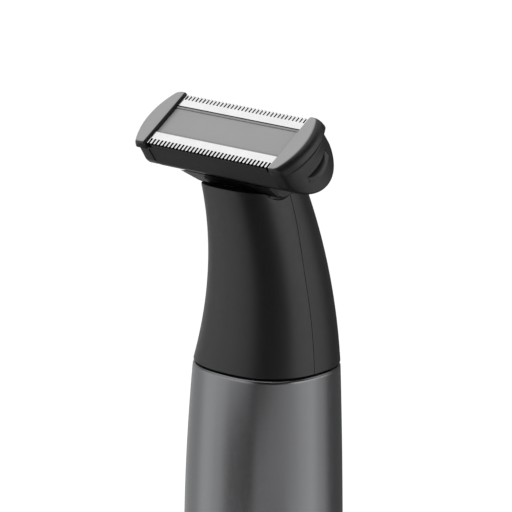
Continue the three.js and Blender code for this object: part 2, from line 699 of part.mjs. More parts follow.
function buildHousing() {
  const outer = prism("x", headProfile(0, WALL_TOP_Z), -BLADE_HALF, BLADE_HALF, ROUND_PROFILE);
  const cavityHalf = BLADE_HALF - 1.2;
  const cavity = prism("x", headProfile(HEAD_WALL, 3), -cavityHalf, cavityHalf, ROUND_PROFILE);
  const [near, far] = [HINGE_Y - BARREL_R - GAP, HINGE_Y + BARREL_R + GAP];
  const carrierHole = box(-BARREL_HALF - GAP, BARREL_HALF + GAP, near, far, -15, CARRIER_TOP_Z);
  piece(head, "head_housing", cut(outer, cavity, carrierHole), BLACK);
}

// ---- Combs, cutters and centre plate ------------------------------------------------------

// A toothed strip lying towards +y: a band from innerY to the slots, then teeth with round tips.
function toothedStrip(halfLength, innerY, tipY, slotLength, pitch, slot) {
  const toothHalf = (pitch - slot) / 2;
  const count = Math.floor((2 * halfLength - 2 * toothHalf) / pitch) + 1;
  const first = (-(count - 1) / 2) * pitch;
  const rootY = tipY - slotLength;
  const shape = new THREE.Shape();
  shape.moveTo(-halfLength, innerY);
  shape.lineTo(halfLength, innerY);
  shape.lineTo(halfLength, rootY);
  for (let i = count - 1; i >= 0; i--) {
    const x = first + i * pitch;
    shape.lineTo(x + toothHalf, rootY);
    shape.absarc(x, tipY - toothHalf, toothHalf, 0, Math.PI, false);
    shape.lineTo(x - toothHalf, rootY);
  }
  shape.lineTo(-halfLength, rootY);
  return shape;
}

// The strip between two heights, at the rear (side 1) or turned round to the front (side -1).
function stripSolid(shape, side, bottomZ, topZ) {
  const settings = { depth: topZ - bottomZ, bevelEnabled: false, curveSegments: 1 };
  const geometry = new THREE.ExtrudeGeometry(shape, settings);
  geometry.rotateZ(side > 0 ? 0 : Math.PI);
  return toSolid(geometry.translate(0, 0, bottomZ));
}

function buildBlades() {
  const innerY = TIP_Y - COMB_WIDTH;
  const cutterTop = -COMB_THICK - GAP;
  const cutterBottom = cutterTop - COMB_THICK;
  const comb = toothedStrip(BLADE_HALF, innerY, TIP_Y, SLOT_LENGTH, TOOTH_PITCH, SLOT_WIDTH);
  const cutter = toothedStrip(
    BLADE_HALF - CUTTER_TRAVEL - GAP,
    innerY + GAP,
    TIP_Y - 0.25,
    SLOT_LENGTH + 0.1,
    CUTTER_PITCH,
    CUTTER_PITCH / 2,
  );
  [-1, 1].forEach((side) => {
    const name = side < 0 ? "front" : "rear";
    piece(head, name + "_comb", stripSolid(comb, side, -COMB_THICK, 0), STEEL);
    piece(head, name + "_cutter", stripSolid(cutter, side, cutterBottom, cutterTop), STEEL);
  });

  const plateHalf = innerY - GAP;
  const plate = join(
    box(-BLADE_HALF, BLADE_HALF, -plateHalf, plateHalf - 0.35, -1.0, -0.4),
    box(-BLADE_HALF, BLADE_HALF, plateHalf - 0.5, plateHalf, -1.0, -0.6),
  );
  piece(head, "centre_plate", plate, PLATE_GREY);

  const frameTop = cutterBottom - GAP;
  const frameBottom = frameTop - 1.3;
  const frameHalf = BLADE_HALF - 2.3;
  const prongIn = FINGER_R + GAP;
  const bar = box(-frameHalf, frameHalf, -5.6, 4.9, frameBottom, frameTop);
  const prongs = [-1, 1].map((side) => {
    const ends = span(side * prongIn, side * (prongIn + 1));
    return box(...ends, HINGE_Y - 1.5, HINGE_Y + 1.5, HINGE_Z - 1.2, frameTop);
  });
  piece(head, "cutter_frame", join(bar, ...prongs), INNER_BLACK);

  [-1, 1].forEach((side) => {
    const name = side < 0 ? "left" : "right";
    piece(head, "cutter_spring_" + name, leafSpring(side, frameBottom - GAP), STEEL);
  });
}

// A bowed leaf under one half of the cutter frame.
function leafSpring(side, topZ) {
  const bow = new THREE.Shape();
  const half = 3.2;
  const rise = 1.1;
  const thick = 0.3;
  const middle = side * 12.2;
  bow.moveTo(middle - half, topZ - rise);
  bow.quadraticCurveTo(middle, topZ + rise, middle + half, topZ - rise);
  bow.lineTo(middle + half, topZ - rise - thick);
  bow.quadraticCurveTo(middle, topZ + rise - thick, middle - half, topZ - rise - thick);
  const settings = { depth: 3, bevelEnabled: false, curveSegments: 6 };
  const geometry = new THREE.ExtrudeGeometry(bow, settings);
  geometry.rotateX(Math.PI / 2).translate(0, 1, 0);
  return toSolid(geometry);
}

// ---- End caps -----------------------------------------------------------------------------

// The cap's outline seen along z: a flat inner side and an outer side bowed out to middle.
function capPlan(middle) {
  const half = CAP_HALF_DEPTH;
  const corner = CAP_CORNER;
  const bow = middle - corner;
  const radius = (half * half + bow * bow) / (2 * bow);
  const reach = Math.asin(half / radius);
  const shape = new THREE.Shape();
  shape.absarc(middle - radius, 0, radius, -reach, reach, false);
  shape.lineTo(CAP_INNER - 3, half);
  shape.lineTo(CAP_INNER - 3, -half);
  return shape;
}

function buildEndCap(side) {
  const name = side < 0 ? "left" : "right";
  const rim = prism("z", capPlan(CAP_OUTER), RIM_BOTTOM_Z + 0.3, CAP_PROUD - RIM_ROUND, {
    bevelEnabled: true,
    bevelSize: RIM_ROUND,
    bevelThickness: RIM_ROUND,
    bevelOffset: -RIM_ROUND,
    bevelSegments: 3,
  });
  const innerFace = box(0, CAP_INNER, -10, 10, -15, 5);
  const rimBlock = cut(
    prism("z", capPlan(CAP_OUTER), RIM_BOTTOM_Z, CAP_PROUD).intersect(
      join(rim, box(0, 40, -10, 10, RIM_BOTTOM_Z, RIM_BOTTOM_Z + 1)),
    ),
    innerFace,
  );
  const lobeTop = headProfile(0, RIM_BOTTOM_Z + 0.1);
  const roundSide = prism("x", lobeTop, CAP_INNER - 3, LOBE_OUTER - LOBE_ROUND, {
    ...ROUND_PROFILE,
    bevelEnabled: true,
    bevelSize: LOBE_ROUND,
    bevelThickness: LOBE_ROUND,
    bevelOffset: -LOBE_ROUND,
    bevelSegments: 3,
  });
  const lower = cut(
    roundSide.intersect(prism("z", capPlan(LOBE_OUTER), -12, RIM_BOTTOM_Z + 0.4)),
    innerFace,
  );
  const thumb = new THREE.SphereGeometry(1, 14, 8);
  thumb.scale(1.4, 4.6, 1.2).rotateX(-0.12).translate(LOBE_OUTER + 0.4, -1.0, -5.4);
  const cap = piece(head, name + "_end_cap", cut(join(rimBlock, lower), toSolid(thumb)), BLACK);
  cap.scale.x = side;
}
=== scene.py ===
import json
import math

import bmesh
import bpy
from mathutils import Matrix, Vector


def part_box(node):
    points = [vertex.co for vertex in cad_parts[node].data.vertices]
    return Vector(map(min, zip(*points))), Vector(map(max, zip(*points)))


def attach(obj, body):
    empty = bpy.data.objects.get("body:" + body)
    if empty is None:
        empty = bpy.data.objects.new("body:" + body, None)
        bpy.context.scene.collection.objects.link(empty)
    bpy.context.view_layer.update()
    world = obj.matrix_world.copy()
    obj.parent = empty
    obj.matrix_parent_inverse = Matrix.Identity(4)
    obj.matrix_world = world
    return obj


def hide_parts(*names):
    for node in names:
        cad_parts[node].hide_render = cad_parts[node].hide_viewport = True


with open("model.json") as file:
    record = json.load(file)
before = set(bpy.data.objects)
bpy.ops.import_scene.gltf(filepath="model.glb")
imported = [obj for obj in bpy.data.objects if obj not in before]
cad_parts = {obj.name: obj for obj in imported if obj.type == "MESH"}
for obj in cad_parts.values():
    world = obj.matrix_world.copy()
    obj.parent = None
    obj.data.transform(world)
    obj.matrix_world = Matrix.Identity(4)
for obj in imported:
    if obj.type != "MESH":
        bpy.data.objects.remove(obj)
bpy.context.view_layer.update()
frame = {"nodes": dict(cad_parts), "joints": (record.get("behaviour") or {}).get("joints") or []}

MM = 0.001

# ---- Dimensions: lengths in millimetres, angles in radians ----------------------------------

GAP = 0.3
WALL = 1.6

# Handle
SECTION_POWER = 2.46
WIDTH_TO_DEPTH = 1.104
SWELL_Z = 63.0
SWELL_HALF = 16.45
SEAM_HALF = 15.1
BASE_HALF = 14.45
SWELL_LEAN = -1.05
NECK_TAPER = 0.178
NECK_FLARE = 0.0012
NECK_BACK_AT = 11.5
NECK_CURVE = 0.00688
NECK_RISE = 39.2
NECK_RIM_SLOPE = 0.12
ROOF_UNDER = 35.2
SEAM_DROP = 0.42
PARTING_BEND = 1.75

# Head
BLADE_HALF = 17.3
TIP_Y = 7.16
COMB_WIDTH = 3.29
COMB_THICK = 0.35
TOOTH_PITCH = 1.0
SLOT_WIDTH = 0.5
REAR_SHIFT = 0.35
SLOT_LENGTH = 1.4
CUTTER_PITCH = 1.5
CUTTER_TRAVEL = 0.8
CUTTER_SHORT = 0.37
WALL_TOP_Z = -1.3
PROFILE_Y = -0.5
PROFILE_Z = -3.05
PROFILE_R = 7.2
FRONT_WALL_Y = -7.2
REAR_WALL_Y = 6.5
HEAD_WALL = 1.2
CAP_INNER = 17.36
CAP_OUTER = 22.05
CAP_CORNER = 19.7
CAP_HALF_DEPTH = 7.75
CAP_PROUD = 0.55
LOBE_PROUD = 0.2
LOBE_CORNER = 18.8
RIM_LOW_Z = -1.6
RIM_FLARE = 0.9
CAP_GROOVE = 0.14
HINGE_Y = -0.5
HINGE_Z = -10.65
BARREL_R = 4.1
BARREL_HALF = 11.4
CHEEK_PAST = 1.1
CARRIER_TOP_Z = -5.4
AXLE_R = 1.2
LUG_IN = 4.8
LUG_OUT = 6.4
LUG_R = 2.6
LUG_STEM = 1.7
LUG_ROOM = 0.4
CHANNEL_HALF = 3.4
OPEN_FORWARD = math.radians(42)
OPEN_BACK = math.radians(62)

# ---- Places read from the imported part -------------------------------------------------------

JOINTS = {j["name"]: j for j in frame["joints"]}
PIVOT = Vector(JOINTS["head_pivot"]["pos_m"])
HEAD_UP = Vector(JOINTS["cartridge_release"]["axis"]).normalized()
HEAD_BACK = HEAD_UP.cross(Vector((1, 0, 0)))
TURN = Matrix((Vector((1, 0, 0)), HEAD_BACK, HEAD_UP)).transposed()
HEAD = Matrix.Translation(PIVOT - TURN @ Vector((0, HINGE_Y, HINGE_Z)) * MM) @ TURN.to_4x4()
TILT = math.asin(HEAD_BACK.z)
HINGE = PIVOT / MM
SLEEVE_LOW, SEAM_Z = (corner.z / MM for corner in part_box("body_sleeve"))
NECK_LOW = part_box("neck_front_shell")[0].z / MM - SEAM_DROP
NECK_TOP = SEAM_Z + NECK_RISE
BASE_TOP_Z = SLEEVE_LOW - GAP
BASE_PLUG_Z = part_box("base_cap")[1].z / MM
BUTTON_BOX = [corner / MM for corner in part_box("power_button")]
BUTTON_Z = (BUTTON_BOX[0].z + BUTTON_BOX[1].z) / 2
BUTTON_HALF = (
    (BUTTON_BOX[1].x - BUTTON_BOX[0].x) / 2 - 1,
    (BUTTON_BOX[1].z - BUTTON_BOX[0].z) / 2 - 1,
)
WINDOW_BOX = [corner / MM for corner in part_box("light_window")]
WINDOW_Z = (WINDOW_BOX[0].z + WINDOW_BOX[1].z) / 2


# ---- Mesh helpers ---------------------------------------------------------------------------


def smooth(value, low, high):
    """0 below low and 1 above high, with an even rise between them."""
    t = min(max((value - low) / (high - low), 0), 1)
    return t * t * (3 - 2 * t)


def new_object(name, points, faces, matrix=None):
    """A mesh object from points in millimetres, placed by matrix (in metres)."""
    place = matrix or Matrix.Identity(4)
    mesh = bpy.data.meshes.new(name)
    mesh.from_pydata([place @ (Vector(p) * MM) for p in points], [], faces)
    obj = bpy.data.objects.new(name, mesh)
    bpy.context.scene.collection.objects.link(obj)
    work = bmesh.new()
    work.from_mesh(mesh)
    bmesh.ops.recalc_face_normals(work, faces=work.faces)
    work.to_mesh(mesh)
    work.free()
    return obj


def spread(start, end, steps):
    """Evenly spaced values from start to end, both included."""
    return [start + (end - start) * k / steps for k in range(steps + 1)]


def quarter(radius, steps=5):
    """(inset, drop) pairs of a quarter round, from its side tangent to its top tangent."""
    angles = spread(0, math.pi / 2, steps)
    return [(radius * (1 - math.cos(a)), radius * (1 - math.sin(a))) for a in angles]


def mirrored(side, near, far):
    """The span from near to far on one side of the middle, low end first."""
    return sorted((side * near, side * far))


def skin(name, rings, matrix=None, loop=False):
    """Quads between equal rings of points. loop joins the last ring to the first; otherwise both
    ends are closed by one face each."""
    count = len(rings[0])
    points = [p for ring in rings for p in ring]
    faces = []
    turns = len(rings) if loop else len(rings) - 1
    for k in range(turns):
        a, b = k * count, ((k + 1) % len(rings)) * count
        for i in range(count):
            j = (i + 1) % count
            faces.append((a + i, a + j, b + j, b + i))
    if not loop:
        faces.append(tuple(range(count)))
        last = (len(rings) - 1) * count
        faces.append(tuple(range(last, last + count)))
    return new_object(name, points, faces, matrix)


def settle(obj):
    """Applies the object's modifiers to its mesh."""
    bpy.context.view_layer.update()
    graph = bpy.context.evaluated_depsgraph_get()
    mesh = bpy.data.meshes.new_from_object(obj.evaluated_get(graph))
    obj.modifiers.clear()
    obj.data = mesh


def combine(obj, others, operation):
    """Boolean steps with other objects, which are used up."""
    for other in others:
        step = obj.modifiers.new("step", "BOOLEAN")
        step.operation = operation
        step.solver = "EXACT"
        step.object = other
        settle(obj)
        bpy.data.objects.remove(other)
    return obj


def cut(obj, *tools):
    return combine(obj, tools, "DIFFERENCE")


def join(obj, *others):
    return combine(obj, others, "UNION")


def soften(obj, width, angle=35, segments=2):
    """Rounds the sharp edges by width millimetres."""
    work = bmesh.new()
    work.from_mesh(obj.data)
    bmesh.ops.remove_doubles(work, verts=work.verts, dist=0.004 * MM)
    work.to_mesh(obj.data)
    work.free()
    step = obj.modifiers.new("round", "BEVEL")
    step.width = width * MM
    step.segments = segments
    step.limit_method = "ANGLE"
    step.angle_limit = math.radians(angle)
    settle(obj)


def offset_outline(outline, inset):
    """The closed outline of (u, v) points, drawn in by inset."""
    count = len(outline)
    area = sum(
        outline[i - 1][0] * outline[i][1] - outline[i][0] * outline[i - 1][1] for i in range(count)
    )
    hand = 1 if area > 0 else -1
    moved = []
    for i in range(count):
        before, here, after = outline[i - 1], outline[i], outline[(i + 1) % count]
        normals = []
        for a, b in ((before, here), (here, after)):
            du, dv = b[0] - a[0], b[1] - a[1]
            size = math.hypot(du, dv) or 1.0
            normals.append((-dv / size * hand, du / size * hand))
        nu, nv = normals[0][0] + normals[1][0], normals[0][1] + normals[1][1]
        scale = 2 * inset / max(nu * nu + nv * nv, 0.5)
        moved.append((here[0] + nu * scale, here[1] + nv * scale))
    return moved


ALONG = {
    "x": lambda u, v, w: (w, u, v),
    "y": lambda u, v, w: (v, w, u),
    "z": lambda u, v, w: (u, v, w),
}


def prism(axis, outline, start, end, rounds=(0, 0), matrix=None):
    """A straight solid of an outline, with rounded edges at its start and end."""
    place = ALONG[axis]
    rings = []
    for radius, at, sign in ((rounds[0], start, 1), (rounds[1], end, -1)):
        corner = quarter(radius) if radius else [(0, 0)]
        for depth, inset in corner[::sign]:
            w = at + sign * depth
            rings.append([place(u, v, w) for u, v in offset_outline(outline, inset)])
    return skin("solid", rings, matrix)


def arc(cu, cv, radius, start, end, steps):
    angles = spread(start, end, steps)
    return [(cu + radius * math.cos(a), cv + radius * math.sin(a)) for a in angles]


def rod(axis, radius, start, end, centre=(0, 0), matrix=None, steps=64, rounds=(0, 0)):
    outline = arc(*centre, radius, 0, 2 * math.pi, steps)[:-1]
    return prism(axis, outline, start, end, rounds, matrix)


def box(x0, x1, y0, y1, z0, z1, matrix=None):
    outline = [(x0, y0), (x1, y0), (x1, y1), (x0, y1)]
    return prism("z", outline, z0, z1, matrix=matrix)


def slot_outline(half_width, half_height, cu, cv, steps=12):
    """A slot with round ends, or a circle, about (cu, cv)."""
    r = min(half_width, half_height)
    du, dv = half_width - r, half_height - r
    turn = math.pi / 2
    points = []
    for k, (su, sv) in enumerate(((1, 1), (-1, 1), (-1, -1), (1, -1))):
        points += arc(cu + su * du, cv + sv * dv, r, k * turn, (k + 1) * turn, steps)
    clean = []
    for p in points:
        if not clean or math.dist(p, clean[-1]) > 1e-6:
            clean.append(p)
    return clean[:-1] if math.dist(clean[0], clean[-1]) < 1e-6 else clean


def present(obj, name, body, look, nodes, sharp=32, flat=False):
    """Names a finished piece, gives it one of the LOOKS and ties it to the frame. flat keeps its
    big faces flat-shaded."""
    obj.name = name
    obj.data.name = name
    obj.data.materials.clear()
    obj.data.materials.append(LOOKS[look].material)
    obj.data.shade_smooth()
    obj.data.set_sharp_from_angle(angle=math.radians(sharp))
    if flat:
        even = obj.modifiers.new("even", "WEIGHTED_NORMAL")
        even.keep_sharp = True
        even.weight = 90
        settle(obj)
    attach(obj, body)
    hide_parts(*nodes)


# ---- Materials ------------------------------------------------------------------------------


class Look:
    """A principled material whose colour, roughness and relief come from noise in object space."""

    def __init__(self, name, color, roughness, metallic=0.0, specular=0.5):
        self.material = bpy.data.materials.new(name)
        self.material.use_nodes = True
        self.nodes = self.material.node_tree.nodes
        self.links = self.material.node_tree.links
        self.shader = self.nodes["Principled BSDF"]
        self.color = color
        self.shader.inputs["Base Color"].default_value = (*color, 1)
        self.shader.inputs["Roughness"].default_value = roughness
        self.shader.inputs["Metallic"].default_value = metallic
        self.shader.inputs["Specular IOR Level"].default_value = specular
        self.place = self.nodes.new("ShaderNodeTexCoord")

    def noise(self, size_mm, detail=3.0, stretch=(1, 1, 1)):
        """Noise whose blobs are about size_mm across, stretched by a factor on each axis."""
        scale = self.nodes.new("ShaderNodeMapping")
        per_metre = 1000.0 / size_mm
        scale.inputs["Scale"].default_value = [per_metre / s for s in stretch]
        self.links.new(self.place.outputs["Object"], scale.inputs["Vector"])
        noise = self.nodes.new("ShaderNodeTexNoise")
        noise.inputs["Scale"].default_value = 1.0
        noise.inputs["Detail"].default_value = detail
        self.links.new(scale.outputs["Vector"], noise.inputs["Vector"])
        return noise.outputs["Fac"]

    def remap(self, value, low, high, start=0.3, end=0.7):
        """Maps a varying value to the range from low to high."""
        ranged = self.nodes.new("ShaderNodeMapRange")
        ranged.inputs["From Min"].default_value = start
        ranged.inputs["From Max"].default_value = end
        ranged.inputs["To Min"].default_value = low
        ranged.inputs["To Max"].default_value = high
        self.links.new(value, ranged.inputs["Value"])
        return ranged.outputs["Result"]

    def facing(self, way, low, high):
        """0 on faces that turn away from way and 1 on those along it, rising from low to high."""
        along = self.nodes.new("ShaderNodeVectorMath")
        along.operation = "DOT_PRODUCT"
        along.inputs[1].default_value = way
        self.links.new(self.place.outputs["Normal"], along.inputs[0])
        return self.remap(along.outputs["Value"], 0, 1, low, high)

    def vary_roughness(self, value, low, high):
        self.links.new(self.remap(value, low, high), self.shader.inputs["Roughness"])

    def mix_color(self, value, first, second):
        mix = self.nodes.new("ShaderNodeMix")
        mix.data_type = "RGBA"
        self.links.new(value, mix.inputs["Factor"])
        for socket, color in (("A", first), ("B", second)):
            slot = next(s for s in mix.inputs if s.name == socket and s.type == "RGBA")
            if isinstance(color, bpy.types.NodeSocket):
                self.links.new(color, slot)
            else:
                slot.default_value = (*color, 1)
        return next(s for s in mix.outputs if s.type == "RGBA")

    def vary_color(self, value, share):
        """The colour drifts by share either way with a varying value."""
        darker = [c * (1 - share) for c in self.color]
        lighter = [c * (1 + share) for c in self.color]
        mixed = self.mix_color(self.remap(value, 0, 1), darker, lighter)
        self.links.new(mixed, self.shader.inputs["Base Color"])

    def bump(self, value, depth_mm):
        relief = self.nodes.new("ShaderNodeBump")
        relief.inputs["Distance"].default_value = depth_mm * MM
        self.links.new(value, relief.inputs["Height"])
        self.links.new(relief.outputs["Normal"], self.shader.inputs["Normal"])


def moulded(name, color, roughness, grain_mm=0.12, grain_depth=0.004, drift=0.12, specular=0.5):
    """Moulded plastic with a fine spark-eroded grain."""
    look = Look(name, color, roughness, specular=specular)
    grain = look.noise(grain_mm, 2.0)
    cloud = look.noise(9.0, 2.0)
    look.vary_color(cloud, drift)
    look.vary_roughness(look.noise(1.4, 3.0), roughness - 0.03, roughness + 0.04)
    look.bump(grain, grain_depth)
    return look


def levelled(look, lift):
    """Shades a tall shell as if its side walls stood upright and leaned back by lift. Faces that
    point up or down keep their own normals."""
    skin_way = look.nodes.new("ShaderNodeNewGeometry")
    upright = look.nodes.new("ShaderNodeVectorMath")
    upright.operation = "MULTIPLY_ADD"
    upright.inputs[1].default_value = (1, 1, 0)
    upright.inputs[2].default_value = (0, 0, lift)
    look.links.new(skin_way.outputs["Normal"], upright.inputs[0])
    parts = look.nodes.new("ShaderNodeSeparateXYZ")
    look.links.new(skin_way.outputs["Normal"], parts.inputs["Vector"])
    size = look.nodes.new("ShaderNodeMath")
    size.operation = "ABSOLUTE"
    look.links.new(parts.outputs["Z"], size.inputs[0])
    steep = look.remap(size.outputs["Value"], 0, 1, 0.5, 0.8)
    mix = look.nodes.new("ShaderNodeMix")
    mix.data_type = "VECTOR"
    ways = [socket for socket in mix.inputs if socket.type == "VECTOR"]
    look.links.new(steep, mix.inputs["Factor"])
    look.links.new(upright.outputs["Vector"], ways[-2])
    look.links.new(skin_way.outputs["Normal"], ways[-1])
    straight = look.nodes.new("ShaderNodeVectorMath")
    straight.operation = "NORMALIZE"
    result = next(socket for socket in mix.outputs if socket.type == "VECTOR")
    look.links.new(result, straight.inputs[0])
    relief = look.shader.inputs["Normal"].links[0].from_node
    look.links.new(straight.outputs["Vector"], relief.inputs["Normal"])
    return look


def rubbery(name, color):
    """Soft dull rubber with a little sheen."""
    look = moulded(name, color, 0.72, 0.09, 0.01, 0.15, 0.35)
    look.shader.inputs["Sheen Weight"].default_value = 0.15
    look.shader.inputs["Sheen Roughness"].default_value = 0.5
    return look


def metal(name, color, roughness, stretch=(12, 1, 1), line_mm=0.05, depth=0.0015):
    """Ground or drawn metal, with fine lines along the stretched axis."""
    look = Look(name, color, roughness, metallic=1.0)
    lines = look.noise(line_mm, 3.0, stretch)
    look.vary_color(look.noise(3.0, 3.0), 0.04)
    look.vary_roughness(lines, roughness - 0.06, roughness + 0.08)
    look.bump(lines, depth)
    return look


def painted_side_shade(look, up):
    """Paints shade on the faces that do not look along up, such as the walls between teeth: they
    are coloured near black as if they stood in shadow.
    """
    # Painted shade: a near-black colour on the side walls, where shadow falls between the teeth.
    side_shade_mask = look.facing(up, 0.55, 0.75)
    color = look.shader.inputs["Base Color"]
    bright = color.links[0].from_socket
    look.links.new(look.mix_color(side_shade_mask, (0.02, 0.02, 0.02), bright), color)
    return look


def sleeve_paint():
    """Dark metallic paint with fine flakes."""
    look = Look("sleeve_paint", (0.235, 0.238, 0.245), 0.24, metallic=0.98)
    flake = look.noise(0.09, 1.0)
    mixed = look.mix_color(look.remap(flake, 0, 1), (0.215, 0.218, 0.225), (0.255, 0.258, 0.267))
    cloud = look.remap(look.noise(14.0, 2.0), 0, 0.25)
    mixed = look.mix_color(cloud, mixed, (0.22, 0.223, 0.23))
    look.links.new(mixed, look.shader.inputs["Base Color"])
    look.vary_roughness(look.noise(0.6, 3.0), 0.22, 0.27)
    look.bump(flake, 0.002)
    return look


def painted_top_reflection(name, body_color, reflection_color, up):
    """Black moulded plastic with a painted reflection: faces turned along up are coloured satin
    grey, as the bright overhead light mirrored in them would show, fading out over the rounded
    edges.
    """
    look = Look(name, body_color, 0.4)
    # Painted reflection: this mask picks the faces turned towards the overhead light and colours
    # them grey.
    level = look.facing(up, 0.76, 0.93)
    level.node.interpolation_type = "SMOOTHSTEP"
    grain = look.noise(0.1, 2.0)
    cloud = look.remap(look.noise(7.0, 2.0), 0, 1)
    dark = look.mix_color(cloud, [c * 0.85 for c in body_color], [c * 1.15 for c in body_color])
    light = look.mix_color(cloud, [c * 0.985 for c in reflection_color], [c * 1.015 for c in reflection_color])
    look.links.new(look.mix_color(level, dark, light), look.shader.inputs["Base Color"])
    look.vary_roughness(look.noise(1.2, 3.0), 0.36, 0.43)
    look.bump(grain, 0.004)
    return look


BLACK_RGB = (0.0055, 0.0055, 0.0057)
# Which way the painted reflection on the caps faces: tilted to -x, so left-facing rounded edges
# stay grey like a reflection of the light and right-facing ones stay dark.
PAINTED_REFLECTION_WAY = (HEAD_UP - Vector((0.35, 0, 0))).normalized()
LOOKS = {
    "sleeve": sleeve_paint(),
    "shell": levelled(moulded("neck_plastic", (0.005, 0.005, 0.0052), 0.37), 0.16),
    "head": moulded("head_plastic", BLACK_RGB, 0.4, 0.1, 0.004),
    # The caps' grey tops are a painted reflection of the overhead light on black plastic.
    "cap": painted_top_reflection("cap_plastic", BLACK_RGB, (0.315, 0.315, 0.315), PAINTED_REFLECTION_WAY),
    "plate": moulded("plate_plastic", (0.3, 0.3, 0.3), 0.36, 0.2, 0.001, 0.02),
    "inner": moulded("inner_plastic", (0.012, 0.012, 0.012), 0.55, 0.14, 0.006),
    "rubber": rubbery("seal_rubber", (0.009, 0.009, 0.009)),
    "button": rubbery("button_rubber", (0.010, 0.010, 0.0105)),
    # The comb teeth's side walls carry painted shade.
    "blade": painted_side_shade(
        metal("blade_steel", (0.90, 0.90, 0.905), 0.17, (14, 1, 1), 0.035, 0.0005), HEAD_UP
    ),
    "cutter": metal("cutter_steel", (0.035, 0.035, 0.037), 0.5, (1, 10, 1), 0.04, 0.001),
    "steel": metal("polished_steel", (0.68, 0.68, 0.69), 0.22, (1, 1, 8), 0.05, 0.0008),
    "spring": metal("spring_steel", (0.55, 0.55, 0.56), 0.3, (1, 1, 1), 0.08, 0.001),
    "nickel": metal("nickel_plate", (0.60, 0.58, 0.54), 0.27, (1, 1, 5), 0.06, 0.001),
    "acetal": moulded("white_acetal", (0.72, 0.70, 0.64), 0.42, 0.15, 0.003, 0.03),
    "board": moulded("board_green", (0.016, 0.10, 0.045), 0.38, 0.3, 0.006, 0.25),
    "cell": moulded("cell_wrap", (0.02, 0.09, 0.2), 0.3, 0.5, 0.01, 0.06),
    "lamp": moulded("lamp_milky", (0.75, 0.77, 0.78), 0.2, 0.2, 0.001, 0.02),
}

# ---- Handle ---------------------------------------------------------------------------------


def section(z):
    """Half width, half depth and centre y of the handle at height z."""
    if z > SEAM_Z:
        h = z - SEAM_Z
        half = SEAM_HALF - NECK_TAPER * h + NECK_FLARE * h * h
        ratio = WIDTH_TO_DEPTH - (WIDTH_TO_DEPTH - 1) * (h / NECK_RISE)
        bend = (h - NECK_BACK_AT) ** 2 - NECK_BACK_AT**2
        return half, half / ratio, -NECK_CURVE * bend
    top = (z - SWELL_Z) / (SEAM_Z - SWELL_Z)
    low = (SWELL_Z - z) / SWELL_Z
    share = top * top if z > SWELL_Z else low * low
    half = SWELL_HALF - (SWELL_HALF - (SEAM_HALF if z > SWELL_Z else BASE_HALF)) * share
    return half, half / WIDTH_TO_DEPTH, SWELL_LEAN * (1 - share)


def super_power(value):
    """The sine or cosine value bent for the superellipse of the section."""
    if abs(value) < 1e-9:
        return 0.0
    return math.copysign(abs(value) ** (2 / SECTION_POWER), value)


def even_angles(count):
    """Angles that space the points of the handle's section evenly."""
    fine = 4000
    angles = [2 * math.pi * k / fine for k in range(fine + 1)]
    points = [(super_power(math.cos(a)) * WIDTH_TO_DEPTH, super_power(math.sin(a))) for a in angles]
    run = [0.0]
    for k in range(fine):
        run.append(run[-1] + math.dist(points[k], points[k + 1]))
    chosen = []
    k = 0
    for i in range(count):
        target = run[-1] * i / count
        while run[k + 1] < target:
            k += 1
        share = (target - run[k]) / max(run[k + 1] - run[k], 1e-12)
        chosen.append(angles[k] + share * (angles[k + 1] - angles[k]))
    return chosen


AROUND = even_angles(192)


def angle_at(share):
    """The angle a share of the way round the section, evenly along its outline."""
    index = share * len(AROUND)
    whole = math.floor(index)
    ends = []
    for k in (whole, whole + 1):
        turns, place = divmod(k, len(AROUND))
        ends.append(AROUND[place] + 2 * math.pi * turns)
    return ends[0] + (index - whole) * (ends[1] - ends[0])


def handle_point(angle, z, inset):
    """The point of the handle's skin at an angle and height, drawn in by inset."""
    half, depth, y = section(z)
    return (
        super_power(math.cos(angle)) * (half - inset),
        y + super_power(math.sin(angle)) * (depth - inset),
        z,
    )


def handle_ring(z, inset):
    return [handle_point(a, z, inset) for a in AROUND]


def make_sleeve():
    """The open tube of the sleeve, with holes for the button and the light."""
    edge, light_r = 0.4, 1.5
    profile = [(SLEEVE_LOW + drop, inset) for inset, drop in reversed(quarter(edge))]
    top = SEAM_Z - SEAM_DROP
    profile += [(z, 0) for z in spread(SLEEVE_LOW + 2, top - 2, 48)]
    # The top edge: a bright chamfer, a flat and the inner corner.
    profile += [(top - 0.7, 0), (top - 0.34, 0), (top - 0.3, 0.015)]
    profile += [(top - 0.06, 0.2), (top, 0.28), (top, 0.4)]
    profile += [(top, WALL - 0.1), (top - 0.1, WALL)]
    profile += [(z, WALL) for z in spread(top - 2, SLEEVE_LOW + 2, 20)]
    profile += [(SLEEVE_LOW + 0.1, WALL), (SLEEVE_LOW, WALL - 0.1)]
    sleeve = skin("sleeve", [handle_ring(z, inset) for z, inset in profile], loop=True)
    hole = slot_outline(BUTTON_HALF[1] + GAP, BUTTON_HALF[0] + GAP, BUTTON_Z, 0)
    cut(sleeve, prism("y", hole, -30, -5), rod("y", light_r, -30, -5, (WINDOW_Z, 0), steps=32))
    present(sleeve, "sleeve_shell", "handle", "sleeve", ["body_sleeve"])


def rim_height(y):
    """The neck's upper edge over y: a sloping plane with a round saddle under the barrel."""
    plane = NECK_TOP - NECK_RIM_SLOPE * (y - (HINGE.y - 7))
    radius = BARREL_R + 0.5
    across = min(abs(y - HINGE.y), radius)
    saddle = HINGE.z - math.sqrt(radius * radius - across * across)
    return min(plane, saddle) if abs(y - HINGE.y) < radius else plane


def parting(z):
    """The y of the neck's parting line at height z: in front of the middle low down."""
    return section(z)[2] - PARTING_BEND * (1 - smooth(z - SEAM_Z, 18, 41))


